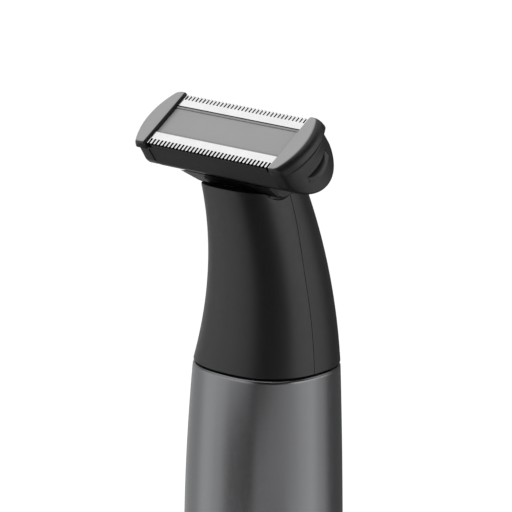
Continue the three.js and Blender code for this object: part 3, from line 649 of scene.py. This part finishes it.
def make_neck():
    """The neck's front and rear half shells. Each is swept from one parting line to the other,
    with its wall, its roof and half of the hole for the drive lever in every section."""
    part_gap, edge, hole_r = 0.075, 0.3, 3.4
    # The outline's length in half depths, which turns a step in y into a share of the outline.
    girth = 7.0
    for sign, name in ((-1, "front"), (1, "rear")):
        steps = 110
        rings = []
        for i in range(steps + 1):
            t = i / steps

            def outer(z, inset=0.0):
                """The skin at share t of the way from one parting line to the other."""
                _, depth, middle = section(z)
                lead = (middle - parting(z)) / depth / girth
                start = -sign * lead
                x, y, _ = handle_point(angle_at(start + t * (0.5 - 2 * start)) * sign, z, inset)
                if sign * (y - parting(z)) < part_gap:
                    y = parting(z) + sign * part_gap
                return x, y

            # The rim height at this angle: the wall leans, so it is found by repetition.
            top = NECK_TOP
            for _ in range(12):
                top = rim_height(outer(min(top, NECK_TOP + 2))[1])
            loop = []
            for inset, drop in reversed(quarter(edge, 3)):
                z = NECK_LOW + drop
                loop.append((*outer(z, inset), z))
            for z in spread(NECK_LOW + 1, top - 1, 36):
                loop.append((*outer(z), z))
            for inset, drop in quarter(edge, 4):
                z = top - drop
                loop.append((*outer(z, inset), z))
            rim_x, rim_y = outer(top, edge)
            hole_x = hole_r * math.cos(math.pi * t)
            hole_y = HINGE.y + sign * hole_r * math.sin(math.pi * t)
            if sign * (hole_y - parting(top)) < part_gap:
                hole_y = parting(top) + sign * part_gap
            for share in spread(0, 1, 16)[1:]:
                x = rim_x + (hole_x - rim_x) * share
                y = rim_y + (hole_y - rim_y) * share
                loop.append((x, y, rim_height(y)))
            roof = SEAM_Z + ROOF_UNDER
            loop.append((hole_x, hole_y, roof))
            for z in spread(roof, NECK_LOW + 0.3, 12):
                loop.append((*outer(z, WALL), z))
            rings.append(loop)
        shell = skin("shell", rings)
        slots = []
        for side in (-1, 1):
            lug = mirrored(side, LUG_IN - LUG_ROOM, LUG_OUT + LUG_ROOM)
            reach = LUG_STEM + LUG_ROOM
            near, far = HINGE.y - reach, HINGE.y + reach
            slots.append(box(*lug, near, far, SEAM_Z + 30, NECK_TOP + 5))
        cut(shell, *slots)
        name = "neck_" + name
        present(shell, name + "_half", "handle", "shell", [name + "_shell"])


def middle_of(node):
    """The middle of a CAD node in millimetres."""
    low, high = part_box(node)
    return (low + high) / 2 / MM


def make_base():
    """The base cap: a rounded cup whose plug goes up into the sleeve."""
    top, plug_top = BASE_TOP_Z, BASE_PLUG_Z
    floor_z, edge, plug, hollow = 3.0, 2.2, WALL + 1.3, WALL + 2.3
    profile = quarter(edge, 10)
    profile += [(top - 0.15, 0), (top, 0.15), (top, plug - 0.1), (top + 0.1, plug)]
    profile += [(plug_top - 0.3, plug), (plug_top, plug + 0.3), (plug_top, hollow - 0.1)]
    profile += [(plug_top - 0.1, hollow), (floor_z, hollow)]
    base = skin("base", [handle_ring(z, inset) for z, inset in profile])
    port = middle_of("charge_port_shell")
    port_half_width, port_half_height = 4.9, 2.05
    tools = [prism("z", slot_outline(port_half_width, port_half_height, 0, port.y), -1, 5)]
    for side in ("left", "right"):
        at = middle_of("base_screw_" + side)
        tools.append(rod("z", 1.2, -1, 5, (at.x, at.y)))
        tools.append(rod("z", 2.4, -1, 1.8, (at.x, at.y)))
    cut(base, *tools)
    soften(base, 0.18, 40, 3)
    present(base, "base_shell", "handle", "shell", ["base_cap"])


def make_base_screws():
    """The two cross-head screws that hold the base cap."""
    for side in ("left", "right"):
        node = "base_screw_" + side
        at = middle_of(node)
        low, high = (corner.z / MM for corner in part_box(node))
        head = rod("z", 2.0, low, low + 1.1, (at.x, at.y), rounds=(0.45, 0.05))
        shank = rod("z", 0.9, low + 0.8, high, (at.x, at.y), steps=32, rounds=(0, 0.3))
        join(head, shank)
        arm, thin, floor_z = 1.25, 0.24, low + 0.6
        cut(
            head,
            box(at.x - arm, at.x + arm, at.y - thin, at.y + thin, low - 1, floor_z),
            box(at.x - thin, at.x + thin, at.y - arm, at.y + arm, low - 1, floor_z),
        )
        soften(head, 0.06)
        present(head, node + "_turned", "handle", "nickel", [node])


def make_button():
    """The rubber button: a rounded face with a shallow dish, a flange and a plunger."""
    face_y = BUTTON_BOX[0].y
    outline = slot_outline(BUTTON_HALF[1], BUTTON_HALF[0], BUTTON_Z, 0, 16)
    skin_y = face_y + 0.3
    back = skin_y + WALL + 0.8
    edge = 0.5
    steps = [(0, back), (0, face_y + 1.0)]
    for a in spread(math.pi / 2, 0, 6):
        steps.append((edge * (1 - math.sin(a)), face_y + edge * (1 - math.cos(a))))
    dish = BUTTON_HALF[0] - 0.8
    for share in spread(0, 1, 12)[1:]:
        steps.append((edge + (dish - edge) * share, face_y + 0.35 * smooth(share, 0.05, 0.9)))
    rings = []
    for inset, y in steps:
        rings.append([(v, y, u) for u, v in offset_outline(outline, inset)])
    button = skin("button", rings)
    flange = prism("y", offset_outline(outline, -1), back - 0.1, back + 0.7, (0.15, 0.15))
    end_y = BUTTON_BOX[1].y
    plunger = rod("y", 1.5, back + 0.5, end_y, (BUTTON_Z, 0), rounds=(0, 0.2))
    join(button, flange, plunger)
    present(button, "button_pad", "button", "button", ["power_button"])


def make_window():
    """The light pipe behind the small round window, with a domed face."""
    low, high = WINDOW_BOX
    radius = 1.2
    flange = (high.x - low.x) / 2
    skin_y = low.y
    step_y = skin_y + WALL + 0.45
    profile = [(0.08, skin_y)]
    for a in spread(0.2, math.pi / 2, 8):
        profile.append((radius * math.sin(a) * 0.98, skin_y + 0.32 * (1 - math.cos(a))))
    profile += [(radius, skin_y + 0.5), (radius, step_y), (flange, step_y), (flange, step_y + 0.5)]
    profile += [(radius * 0.9, step_y + 0.6), (radius * 0.9, high.y)]
    rings = []
    for r, y in profile:
        rings.append([(u, y, WINDOW_Z + v) for u, v in arc(0, 0, r, 0, 2 * math.pi, 48)[:-1]])
    window = skin("window", rings)
    present(window, "window_lens", "handle", "lamp", ["light_window"])


def make_collar():
    """The rubber ring that closes the seam between sleeve and neck from inside."""
    low, high = (corner.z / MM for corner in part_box("neck_collar"))
    outer, inner = WALL + GAP, WALL + 1.7
    profile = [(low, outer + 0.2), (low + 0.2, outer)]
    profile += [(z, outer) for z in spread(low + 1, high - 1, 6)]
    profile += [(high - 0.2, outer), (high, outer + 0.2), (high, inner - 0.2), (high - 0.2, inner)]
    profile += [(z, inner) for z in spread(high - 1, low + 1, 6)]
    profile += [(low + 0.2, inner), (low, inner - 0.2)]
    collar = skin("collar", [handle_ring(z, inset) for z, inset in profile], loop=True)
    present(collar, "seam_collar", "handle", "rubber", ["neck_collar"])


make_sleeve()
make_base()
make_base_screws()
make_button()
make_window()
make_collar()
make_neck()

# ---- Head -----------------------------------------------------------------------------------


def head_profile(inset, top_z, steps=56, proud=0.0):
    """(y, z) outline of the head's round underside with flat front and rear walls."""
    radius = PROFILE_R - inset
    front, rear = FRONT_WALL_Y + inset - proud, REAR_WALL_Y - inset

    def angle(y):
        fall = math.sqrt(max(radius**2 - (y - PROFILE_Y) ** 2, 0))
        return math.atan2(-fall, y - PROFILE_Y)

    points = arc(PROFILE_Y, PROFILE_Z, radius, angle(front), angle(rear), steps)
    return points + [(rear, top_z), (front, top_z)]


def make_housing():
    """The cartridge's trough, open on top, with a thin lip that hides the gap below the comb."""
    housing = prism("x", head_profile(0, WALL_TOP_Z), -BLADE_HALF, BLADE_HALF, matrix=HEAD)
    inner = BLADE_HALF - HEAD_WALL
    cavity = prism("x", head_profile(HEAD_WALL, 3), -inner, inner, matrix=HEAD)
    near, far = HINGE_Y - BARREL_R - GAP, HINGE_Y + BARREL_R + GAP
    opening = box(
        -BARREL_HALF - GAP, BARREL_HALF + GAP, near, far, -15, CARRIER_TOP_Z, matrix=HEAD
    )
    cut(housing, cavity, opening)
    near, far, lip_top = FRONT_WALL_Y + 0.02, FRONT_WALL_Y + 0.28, -0.45
    join(housing, box(-inner, inner, near, far, WALL_TOP_Z - 0.1, lip_top, HEAD))
    soften(housing, 0.22)
    nodes = ["head_housing"]
    present(housing, "housing_shell", "cartridge", "head", nodes, flat=True)


def make_carrier():
    """The tilting carrier: a barrel on the hinge, a block up into the housing and a cheek under
    it, cut out for the two lugs, the axles and the drive lever."""
    centre = (HINGE_Y, HINGE_Z)
    end = BARREL_HALF
    barrel = rod("x", BARREL_R, -end, end, centre, HEAD, 96, (0.7, 0.7))
    near, far = HINGE_Y - BARREL_R, HINGE_Y + BARREL_R
    block = box(-end + 0.02, end - 0.02, near + 0.01, far - 0.01, HINGE_Z, CARRIER_TOP_Z, HEAD)
    high, low = PROFILE_Z - 3.85, HINGE_Z - 2
    cheek_end = end + CHEEK_PAST
    outline = [
        (near - 2, CARRIER_TOP_Z),
        (near - 2, high),
        (HINGE_Y - 3.7, HINGE_Z - 1.7),
        (HINGE_Y, HINGE_Z),
    ]
    cheek = prism("x", outline, -cheek_end, cheek_end, (0.3, 0.3), HEAD)
    slants = []
    for side in (-1, 1):
        corners = ((high, cheek_end), (low, end - 0.3), (low, 14), (high, 14))
        outline = [(z, side * x) for z, x in corners]
        slants.append(prism("y", outline[::side], -12, 8, matrix=HEAD))
    cut(cheek, rod("x", PROFILE_R + 0.15, -20, 20, (PROFILE_Y, PROFILE_Z), HEAD, 160), *slants)
    down = -math.pi / 2 - TILT
    sector = [(HINGE_Y, HINGE_Z)] + arc(
        HINGE_Y, HINGE_Z, 12, down - OPEN_FORWARD, down + OPEN_BACK, 24
    )
    tools = [
        box(-CHANNEL_HALF, CHANNEL_HALF, HINGE_Y - 2.3, HINGE_Y + 2.3, HINGE_Z - 2, 5, HEAD),
        prism("x", sector, -CHANNEL_HALF, CHANNEL_HALF, matrix=HEAD),
    ]
    for side in (-1, 1):
        lug = mirrored(side, LUG_IN - LUG_ROOM, LUG_OUT + LUG_ROOM)
        hole = mirrored(side, CHANNEL_HALF - 0.5, BARREL_HALF - 0.8)
        tools += [
            rod("x", LUG_R + LUG_ROOM, *lug, centre, HEAD),
            prism("x", sector, *lug, matrix=HEAD),
            rod("x", AXLE_R + GAP, *hole, centre, HEAD),
        ]
    join(barrel, block, cheek)
    cut(barrel, *tools)
    soften(barrel, 0.2)
    present(barrel, "tilt_carrier", "head", "head", ["head_carrier"], flat=True)


def comb_strip(half_length, inner_y, tip_y, slot_length, pitch, slot, thick, top_z, side, bend):
    """A toothed strip: a band with round-tipped teeth that sink by bend towards their tips. Its
    teeth point to the front when side is -1 and to the rear when it is 1."""
    tooth = (pitch - slot) / 2
    count = int((2 * half_length - 2 * tooth) / pitch) + 1
    first = -(count - 1) / 2 * pitch
    root = tip_y - slot_length
    tip_turns = spread(0, math.pi / 2, 5)[1:]

    def drop(y):
        t = max((y - root) / slot_length, 0)
        return -bend * t * t

    work = bmesh.new()

    def vert(x, y):
        point = HEAD @ (Vector((x * side, y * side, top_z + drop(y))) * MM)
        return work.verts.new(point)

    edge = []
    for i in range(count):
        cx = first + i * pitch
        left, right = vert(cx - tooth, root), vert(cx + tooth, root)
        edge += [left, right]
        for share in spread(0, 1, 4)[1:]:
            y = root + (slot_length - tooth) * share
            a, b = vert(cx - tooth, y), vert(cx + tooth, y)
            work.faces.new((left, right, b, a))
            left, right = a, b
        for a in tip_turns:
            y = tip_y - tooth + tooth * math.sin(a)
            if a == tip_turns[-1]:
                work.faces.new((left, right, vert(cx, y)))
            else:
                w = tooth * math.cos(a)
                a1, b1 = vert(cx - w, y), vert(cx + w, y)
                work.faces.new((left, right, b1, a1))
                left, right = a1, b1
    ends = [vert(-half_length, root)] + edge + [vert(half_length, root)]
    ends = [v for i, v in enumerate(ends) if i == 0 or (v.co - ends[i - 1].co).length > 1e-7]
    back = [vert(half_length, inner_y), vert(-half_length, inner_y)]
    work.faces.new(ends + back)
    bmesh.ops.recalc_face_normals(work, faces=work.faces)
    down = TURN @ Vector((0, 0, -1))
    made = bmesh.ops.extrude_face_region(work, geom=list(work.faces))
    moved = [g for g in made["geom"] if isinstance(g, bmesh.types.BMVert)]
    bmesh.ops.translate(work, verts=moved, vec=down * thick * MM)
    bmesh.ops.recalc_face_normals(work, faces=work.faces)
    mesh = bpy.data.meshes.new("strip")
    work.to_mesh(mesh)
    work.free()
    obj = bpy.data.objects.new("strip", mesh)
    bpy.context.scene.collection.objects.link(obj)
    return obj


def make_blades():
    """The two combs with their cutters below, and the plate between them."""
    inner = TIP_Y - COMB_WIDTH
    for side, name in ((-1, "front"), (1, "rear")):
        back = REAR_SHIFT if side > 0 else 0
        tip_y, length = TIP_Y + back, SLOT_LENGTH + back / 4
        comb = comb_strip(
            BLADE_HALF,
            inner + back,
            tip_y,
            length,
            TOOTH_PITCH,
            SLOT_WIDTH,
            COMB_THICK,
            top_z=0,
            side=side,
            bend=0.05,
        )
        soften(comb, 0.03, 40)
        node, slot = name + "_comb", "blade_steel"
        present(comb, node + "_strip", "cartridge", "blade", [node], flat=True)
        cutter = comb_strip(
            BLADE_HALF - CUTTER_TRAVEL - GAP,
            inner + GAP,
            TIP_Y - CUTTER_SHORT,
            SLOT_LENGTH + 0.1,
            CUTTER_PITCH,
            CUTTER_PITCH / 2,
            COMB_THICK,
            top_z=-COMB_THICK - GAP,
            side=side,
            bend=0.1,
        )
        soften(cutter, 0.03, 40, 1)
        node = name + "_cutter"
        present(cutter, node + "_strip", "cutter", "cutter", [node], flat=True)
    half, ledge, top, groove = inner - 0.04, -0.24, -0.4, -0.62
    steps = [(0, -1.0), (0, ledge), (0.42, ledge), (0.46, groove), (0.58, groove), (0.6, top)]
    outline = [(half + REAR_SHIFT - inset, z) for inset, z in steps]
    outline += [(inset - half, z) for inset, z in reversed(steps)]
    plate = prism("x", outline, -BLADE_HALF, BLADE_HALF, matrix=HEAD)
    soften(plate, 0.02)
    present(plate, "plate_cover", "cartridge", "plate", ["centre_plate"], flat=True)


def cap_bow(y, corner):
    """The x of the cap's bowed outer side over y, from corner at its ends."""
    half, bow = CAP_HALF_DEPTH, CAP_OUTER - corner
    radius = (half * half + bow * bow) / (2 * bow)
    return CAP_OUTER - radius + math.sqrt(max(radius**2 - y * y, 0))


def rim_section(inner, outer, low, high):
    """(x, z) outline of the rim: an upright inner wall, a flat top, a round and a wall that leans
    out downwards."""
    small, foot, round_r = 0.22, 0.15, 1.9
    lean = math.radians(20)
    turn = math.pi / 2 - lean
    points = arc(inner + foot, low + foot, foot, math.pi, 1.5 * math.pi, 3)
    points += arc(outer - foot, low + foot, foot, -0.5 * math.pi, 0, 3)
    round_low = high - round_r * (1 - math.cos(turn))
    run = (round_low - low - foot) * math.tan(lean)
    centre_x = outer - run - round_r * math.sin(turn)
    points += arc(centre_x, high - round_r, round_r, lean, math.pi / 2, 10)
    points += arc(inner + small, high - small, small, 0.5 * math.pi, math.pi, 4)
    return points


def make_rim(matrix):
    """The cap's rim: a bowed slab with rounded ends."""
    half, end = CAP_HALF_DEPTH, 0.7
    stations = [(half - drop, inset) for inset, drop in quarter(end, 7)]
    walk = [(-y, inset) for y, inset in reversed(stations)]
    walk += [(y, 0) for y in spread(-half + end, half - end, 60)[1:-1]]
    walk += stations
    rings = []
    for y, inset in walk:
        outer = cap_bow(y, CAP_CORNER) + RIM_FLARE - inset
        outline = rim_section(
            CAP_INNER + 0.2 * inset, outer, RIM_LOW_Z + 0.5 * inset, CAP_PROUD - 0.6 * inset
        )
        rings.append([(x, y, z) for x, z in outline])
    return skin("rim", rings, matrix)


def thumb_recess(y, z):
    """How deep the crescent thumb recess is at (y, z) on the cap's round side: a steep upper wall,
    a slope back up and a shallow shelf below it."""
    middle_y, half_length, wall = -0.15, 5.0, 0.1
    along = (y - middle_y) / half_length
    if abs(along) >= 1:
        return 0.0
    taper = 1 - along * along
    upper = -4.3 + 0.13 * y - 0.25 * taper
    width = 2.4 * taper**0.6 + 0.01
    t = (upper - z) / width
    if t <= 0 or t >= 1:
        return 0.0
    deep = 1.7 * taper**1.35
    if t < wall:
        return deep * t / wall
    rest = 1 - (t - wall) / (1 - wall)
    return deep * (0.86 * rest**2.4 + 0.14 * rest**0.8)


def make_lobe(matrix):
    """The cap's round side below the rim, a little proud of the housing, with the recess."""
    outline = head_profile(0.05, RIM_LOW_Z - CAP_GROOVE, 180, LOBE_PROUD)
    (rear, top_z), (front, _) = outline[-2:]
    outline[-1:-1] = [(y, top_z) for y in spread(rear, front, 70)[1:-1]]
    edge = 0.5

    def face_x(y, z, inset):
        fall = edge - math.sqrt(max(edge**2 - max(edge - inset, 0) ** 2, 0))
        bulge = 0.2 * smooth(-z, 2.4, 6)
        skin_x = cap_bow(y, LOBE_CORNER) + RIM_FLARE - 0.12 + bulge
        return skin_x - fall - thumb_recess(y, z)

    rings = [[(CAP_INNER, y, z) for y, z in outline]]
    for inset, _ in quarter(edge, 6):
        ring = offset_outline(outline, inset)
        rings.append([(face_x(y, z, inset), y, z) for y, z in ring])
    middle_y, middle_z = PROFILE_Y, -7.5
    inner = offset_outline(outline, edge)
    for share in spread(1, 0.015, 100)[1:]:
        ring = [
            (middle_y + (y - middle_y) * share, middle_z + (z - middle_z) * share)
            for y, z in inner
        ]
        rings.append([(face_x(y, z, edge), y, z) for y, z in ring])
    return skin("lobe", rings, matrix)


def make_cap_core(matrix):
    """The narrow bridge inside the groove between the rim and the round side."""
    rings = []
    for y in spread(FRONT_WALL_Y + 0.25, REAR_WALL_Y - 0.25, 40):
        outer = cap_bow(y, LOBE_CORNER) + RIM_FLARE - 0.5
        low, high = RIM_LOW_Z - 0.5, RIM_LOW_Z + 0.3
        inner = CAP_INNER + 0.02
        rings.append([(inner, y, low), (outer, y, low), (outer, y, high), (inner, y, high)])
    return skin("core", rings, matrix)


def make_caps():
    """The two end caps, mirror images of each other."""
    for side, name in ((-1, "left"), (1, "right")):
        matrix = HEAD @ Matrix.Scale(side, 4, Vector((1, 0, 0)))
        cap = join(make_rim(matrix), make_lobe(matrix), make_cap_core(matrix))
        nodes = [name + "_end_cap"]
        present(cap, name + "_cap_shell", "cartridge", "cap", nodes, sharp=28)


make_housing()
make_carrier()
make_blades()
make_caps()

# ---- Nodes that keep their CAD shape --------------------------------------------------------


def both(name):
    return [name + "_left", name + "_right"]


KEPT = {
    "inner": ["chassis", "control_chip", "charge_port_tongue", "switch_body", "cutter_frame"],
    "rubber": ["base_seal", "neck_boot"],
    "nickel": [
        "pivot_bracket",
        "battery_tab_top",
        "battery_tab_bottom",
        "charge_port_shell",
        "motor_can",
        *both("bracket_screw"),
        *both("motor_screw"),
    ],
    "steel": [*both("pivot_axle"), "lever_pivot_pin", "motor_shaft", "drive_finger"],
    "spring": [*both("return_spring"), *both("cutter_spring")],
    "acetal": ["motor_end_cap", "eccentric_cam", "drive_lever", "status_light"],
    "board": ["circuit_board"],
    "cell": ["battery_cell"],
}
for look, names in KEPT.items():
    for name in names:
        node = frame["nodes"][name]
        for holder in node.material_slots:
            holder.material = LOOKS[look].material

# ---- Floor, light and camera ----------------------------------------------------------------


def make_floor():
    """A wide pale sheet under the object, left out of its reflections."""
    far = 3.0 / MM
    corners = [(-far, -far, 0), (far, -far, 0), (far, far, 0), (-far, far, 0)]
    floor = new_object("floor", corners, [(0, 1, 2, 3)])
    look = Look("floor_paper", (0.95, 0.95, 0.95), 0.9)
    look.shader.inputs["Emission Color"].default_value = (1, 1, 1, 1)
    look.shader.inputs["Emission Strength"].default_value = 0.06
    look.vary_color(look.noise(40.0, 2.0), 0.01)
    floor.data.materials.append(look.material)
    floor.visible_glossy = False


def band(value, low, high, soft):
    """1 between low and high, falling to 0 over soft on either side."""
    return smooth(value, low - soft, low + soft) * (1 - smooth(value, high - soft, high + soft))


def glow(azimuth, elevation):
    """How bright the studio is in a direction. Azimuth is in degrees round from the side the
    picture is taken from, positive to its right. Tall panels stand on both sides. high, low and
    under are their parts above, below and far below eye level."""
    slant = smooth(-elevation, 5.5, 9.0)
    side = abs(azimuth)
    if side < 90:
        side *= 1 - 0.15 * slant * (1 - (side / 90) ** 4)
    else:
        side = 90 + (side - 90) * (1 + 0.45 * slant)
    turned = math.copysign(side, azimuth)
    far_left = 0.6 * band(azimuth, -200, -116, 6)
    far_right = 0.14 * band(azimuth, 112, 200, 10)
    high = 1.15 * band(azimuth, -114, -46, 9) + far_left
    high += 0.06 * band(azimuth, 14, 42, 12) + 1.9 * band(azimuth, 42, 104, 9) + far_right
    slide = smooth(elevation, -10, 0)
    low = 1.08 * band(turned, -114, -78 + 40 * slide, 9) + 0.6 * band(turned, -200, -116, 6)
    low += 0.6 * band(turned, -31 + 49 * slide, 60, 9) + 1.0 * band(turned, 60, 99, 16)
    low = max(low + 0.14 * band(turned, 112, 200, 10), 0.04)
    under = 1.2 * band(azimuth, -114, -34, 9) + far_left
    under += 1.35 * band(azimuth, 34, 104, 9) + far_right
    value = low + (high - low) * smooth(elevation, -2, 4)
    value = value + (under - value) * smooth(-elevation, 19, 23)
    value = max(value + (0.1 - value) * smooth(-elevation, 36, 46), 0.02)
    overhead = 0.98 * smooth(elevation, 28, 40) + 0.5 * smooth(elevation, 66, 76)
    shaded = band(azimuth, -70, 100, 16) * (1 - smooth(elevation, 66, 76))
    rise = smooth(elevation, 18, 34)
    return value + (overhead * (1 - shaded) + 0.03 * shaded - value) * rise


def make_tent():
    """A tent of light and dark panels round the object, seen only in its reflections."""
    toward, across = Vector((0.68, -0.7332, 0)), Vector((0.7332, 0.68, 0))
    radius, rows, columns, middle = 1.5, 60, 120, Vector((0, 0, 110))
    points, values = [], []
    for r in range(rows + 1):
        elevation = -90 + 180 * r / rows
        for c in range(columns):
            azimuth = -180 + 360 * c / columns
            e, a = math.radians(elevation), math.radians(azimuth)
            way = toward * math.cos(a) * math.cos(e) + across * math.sin(a) * math.cos(e)
            way.z = math.sin(e)
            points.append(tuple(way * radius / MM + middle))
            values.append(glow(azimuth, elevation))
    faces = []
    for r in range(rows):
        for c in range(columns):
            d = (c + 1) % columns
            a, b = r * columns, (r + 1) * columns
            faces.append((a + c, a + d, b + d, b + c))
    tent = new_object("light_tent", points, faces)
    shine = tent.data.attributes.new("glow", "FLOAT", "POINT")
    shine.data.foreach_set("value", values)
    look = bpy.data.materials.new("light_tent")
    look.use_nodes = True
    look.cycles.emission_sampling = "NONE"
    nodes, links = look.node_tree.nodes, look.node_tree.links
    nodes.clear()
    level = nodes.new("ShaderNodeAttribute")
    level.attribute_name = "glow"
    shine = nodes.new("ShaderNodeEmission")
    links.new(level.outputs["Fac"], shine.inputs["Strength"])
    links.new(shine.outputs["Emission"], nodes.new("ShaderNodeOutputMaterial").inputs["Surface"])
    tent.data.materials.append(look)
    tent.visible_camera = False
    tent.visible_diffuse = False
    tent.visible_shadow = False
    tent.visible_transmission = False


def make_world():
    """Plain white surroundings, left out of reflections."""
    world = bpy.data.worlds.new("studio")
    bpy.context.scene.world = world
    world.use_nodes = True
    back = world.node_tree.nodes["Background"]
    back.inputs["Color"].default_value = (1, 1, 1, 1)
    back.inputs["Strength"].default_value = 1.0
    world.cycles_visibility.glossy = False


def make_camera():
    """A long lens in front, to the right of the handle and a little above its middle."""
    azimuth, elevation = math.radians(42.83), math.radians(14.35)
    distance, shift_right, shift_up = 0.8362, -0.002236, 0.02169
    back = Vector(
        (
            math.sin(azimuth) * math.cos(elevation),
            -math.cos(azimuth) * math.cos(elevation),
            math.sin(elevation),
        )
    )
    right = Vector((math.cos(azimuth), math.sin(azimuth), 0))
    up = back.cross(right)
    data = bpy.data.cameras.new("camera")
    data.lens = 281.25
    data.sensor_width = 36
    data.clip_start = 0.05
    data.clip_end = 20
    camera = bpy.data.objects.new("camera", data)
    aim = Vector((0, 0, SEAM_Z * MM)) + right * shift_right + up * shift_up
    turn = Matrix((right, up, back)).transposed().to_4x4()
    camera.matrix_world = Matrix.Translation(aim + back * distance) @ turn
    bpy.context.scene.collection.objects.link(camera)
    bpy.context.scene.camera = camera


def make_stage():
    """Floor, world, camera, tent and one soft lamp."""
    make_floor()
    make_world()
    make_camera()
    bpy.context.scene.view_settings.view_transform = "Standard"
    make_tent()
    lamp = bpy.data.lights.new("soft_key", "AREA")
    lamp.shape = "RECTANGLE"
    lamp.size = 0.7
    lamp.size_y = 0.7
    lamp.energy = 1.5
    key = bpy.data.objects.new("soft_key", lamp)
    key.location = (-0.8, -0.3, 1.1)
    key.rotation_euler = (Vector((0, 0, 0.12)) - key.location).to_track_quat("-Z", "Y").to_euler()
    key.visible_camera = False
    key.visible_glossy = False
    bpy.context.scene.collection.objects.link(key)


make_stage()
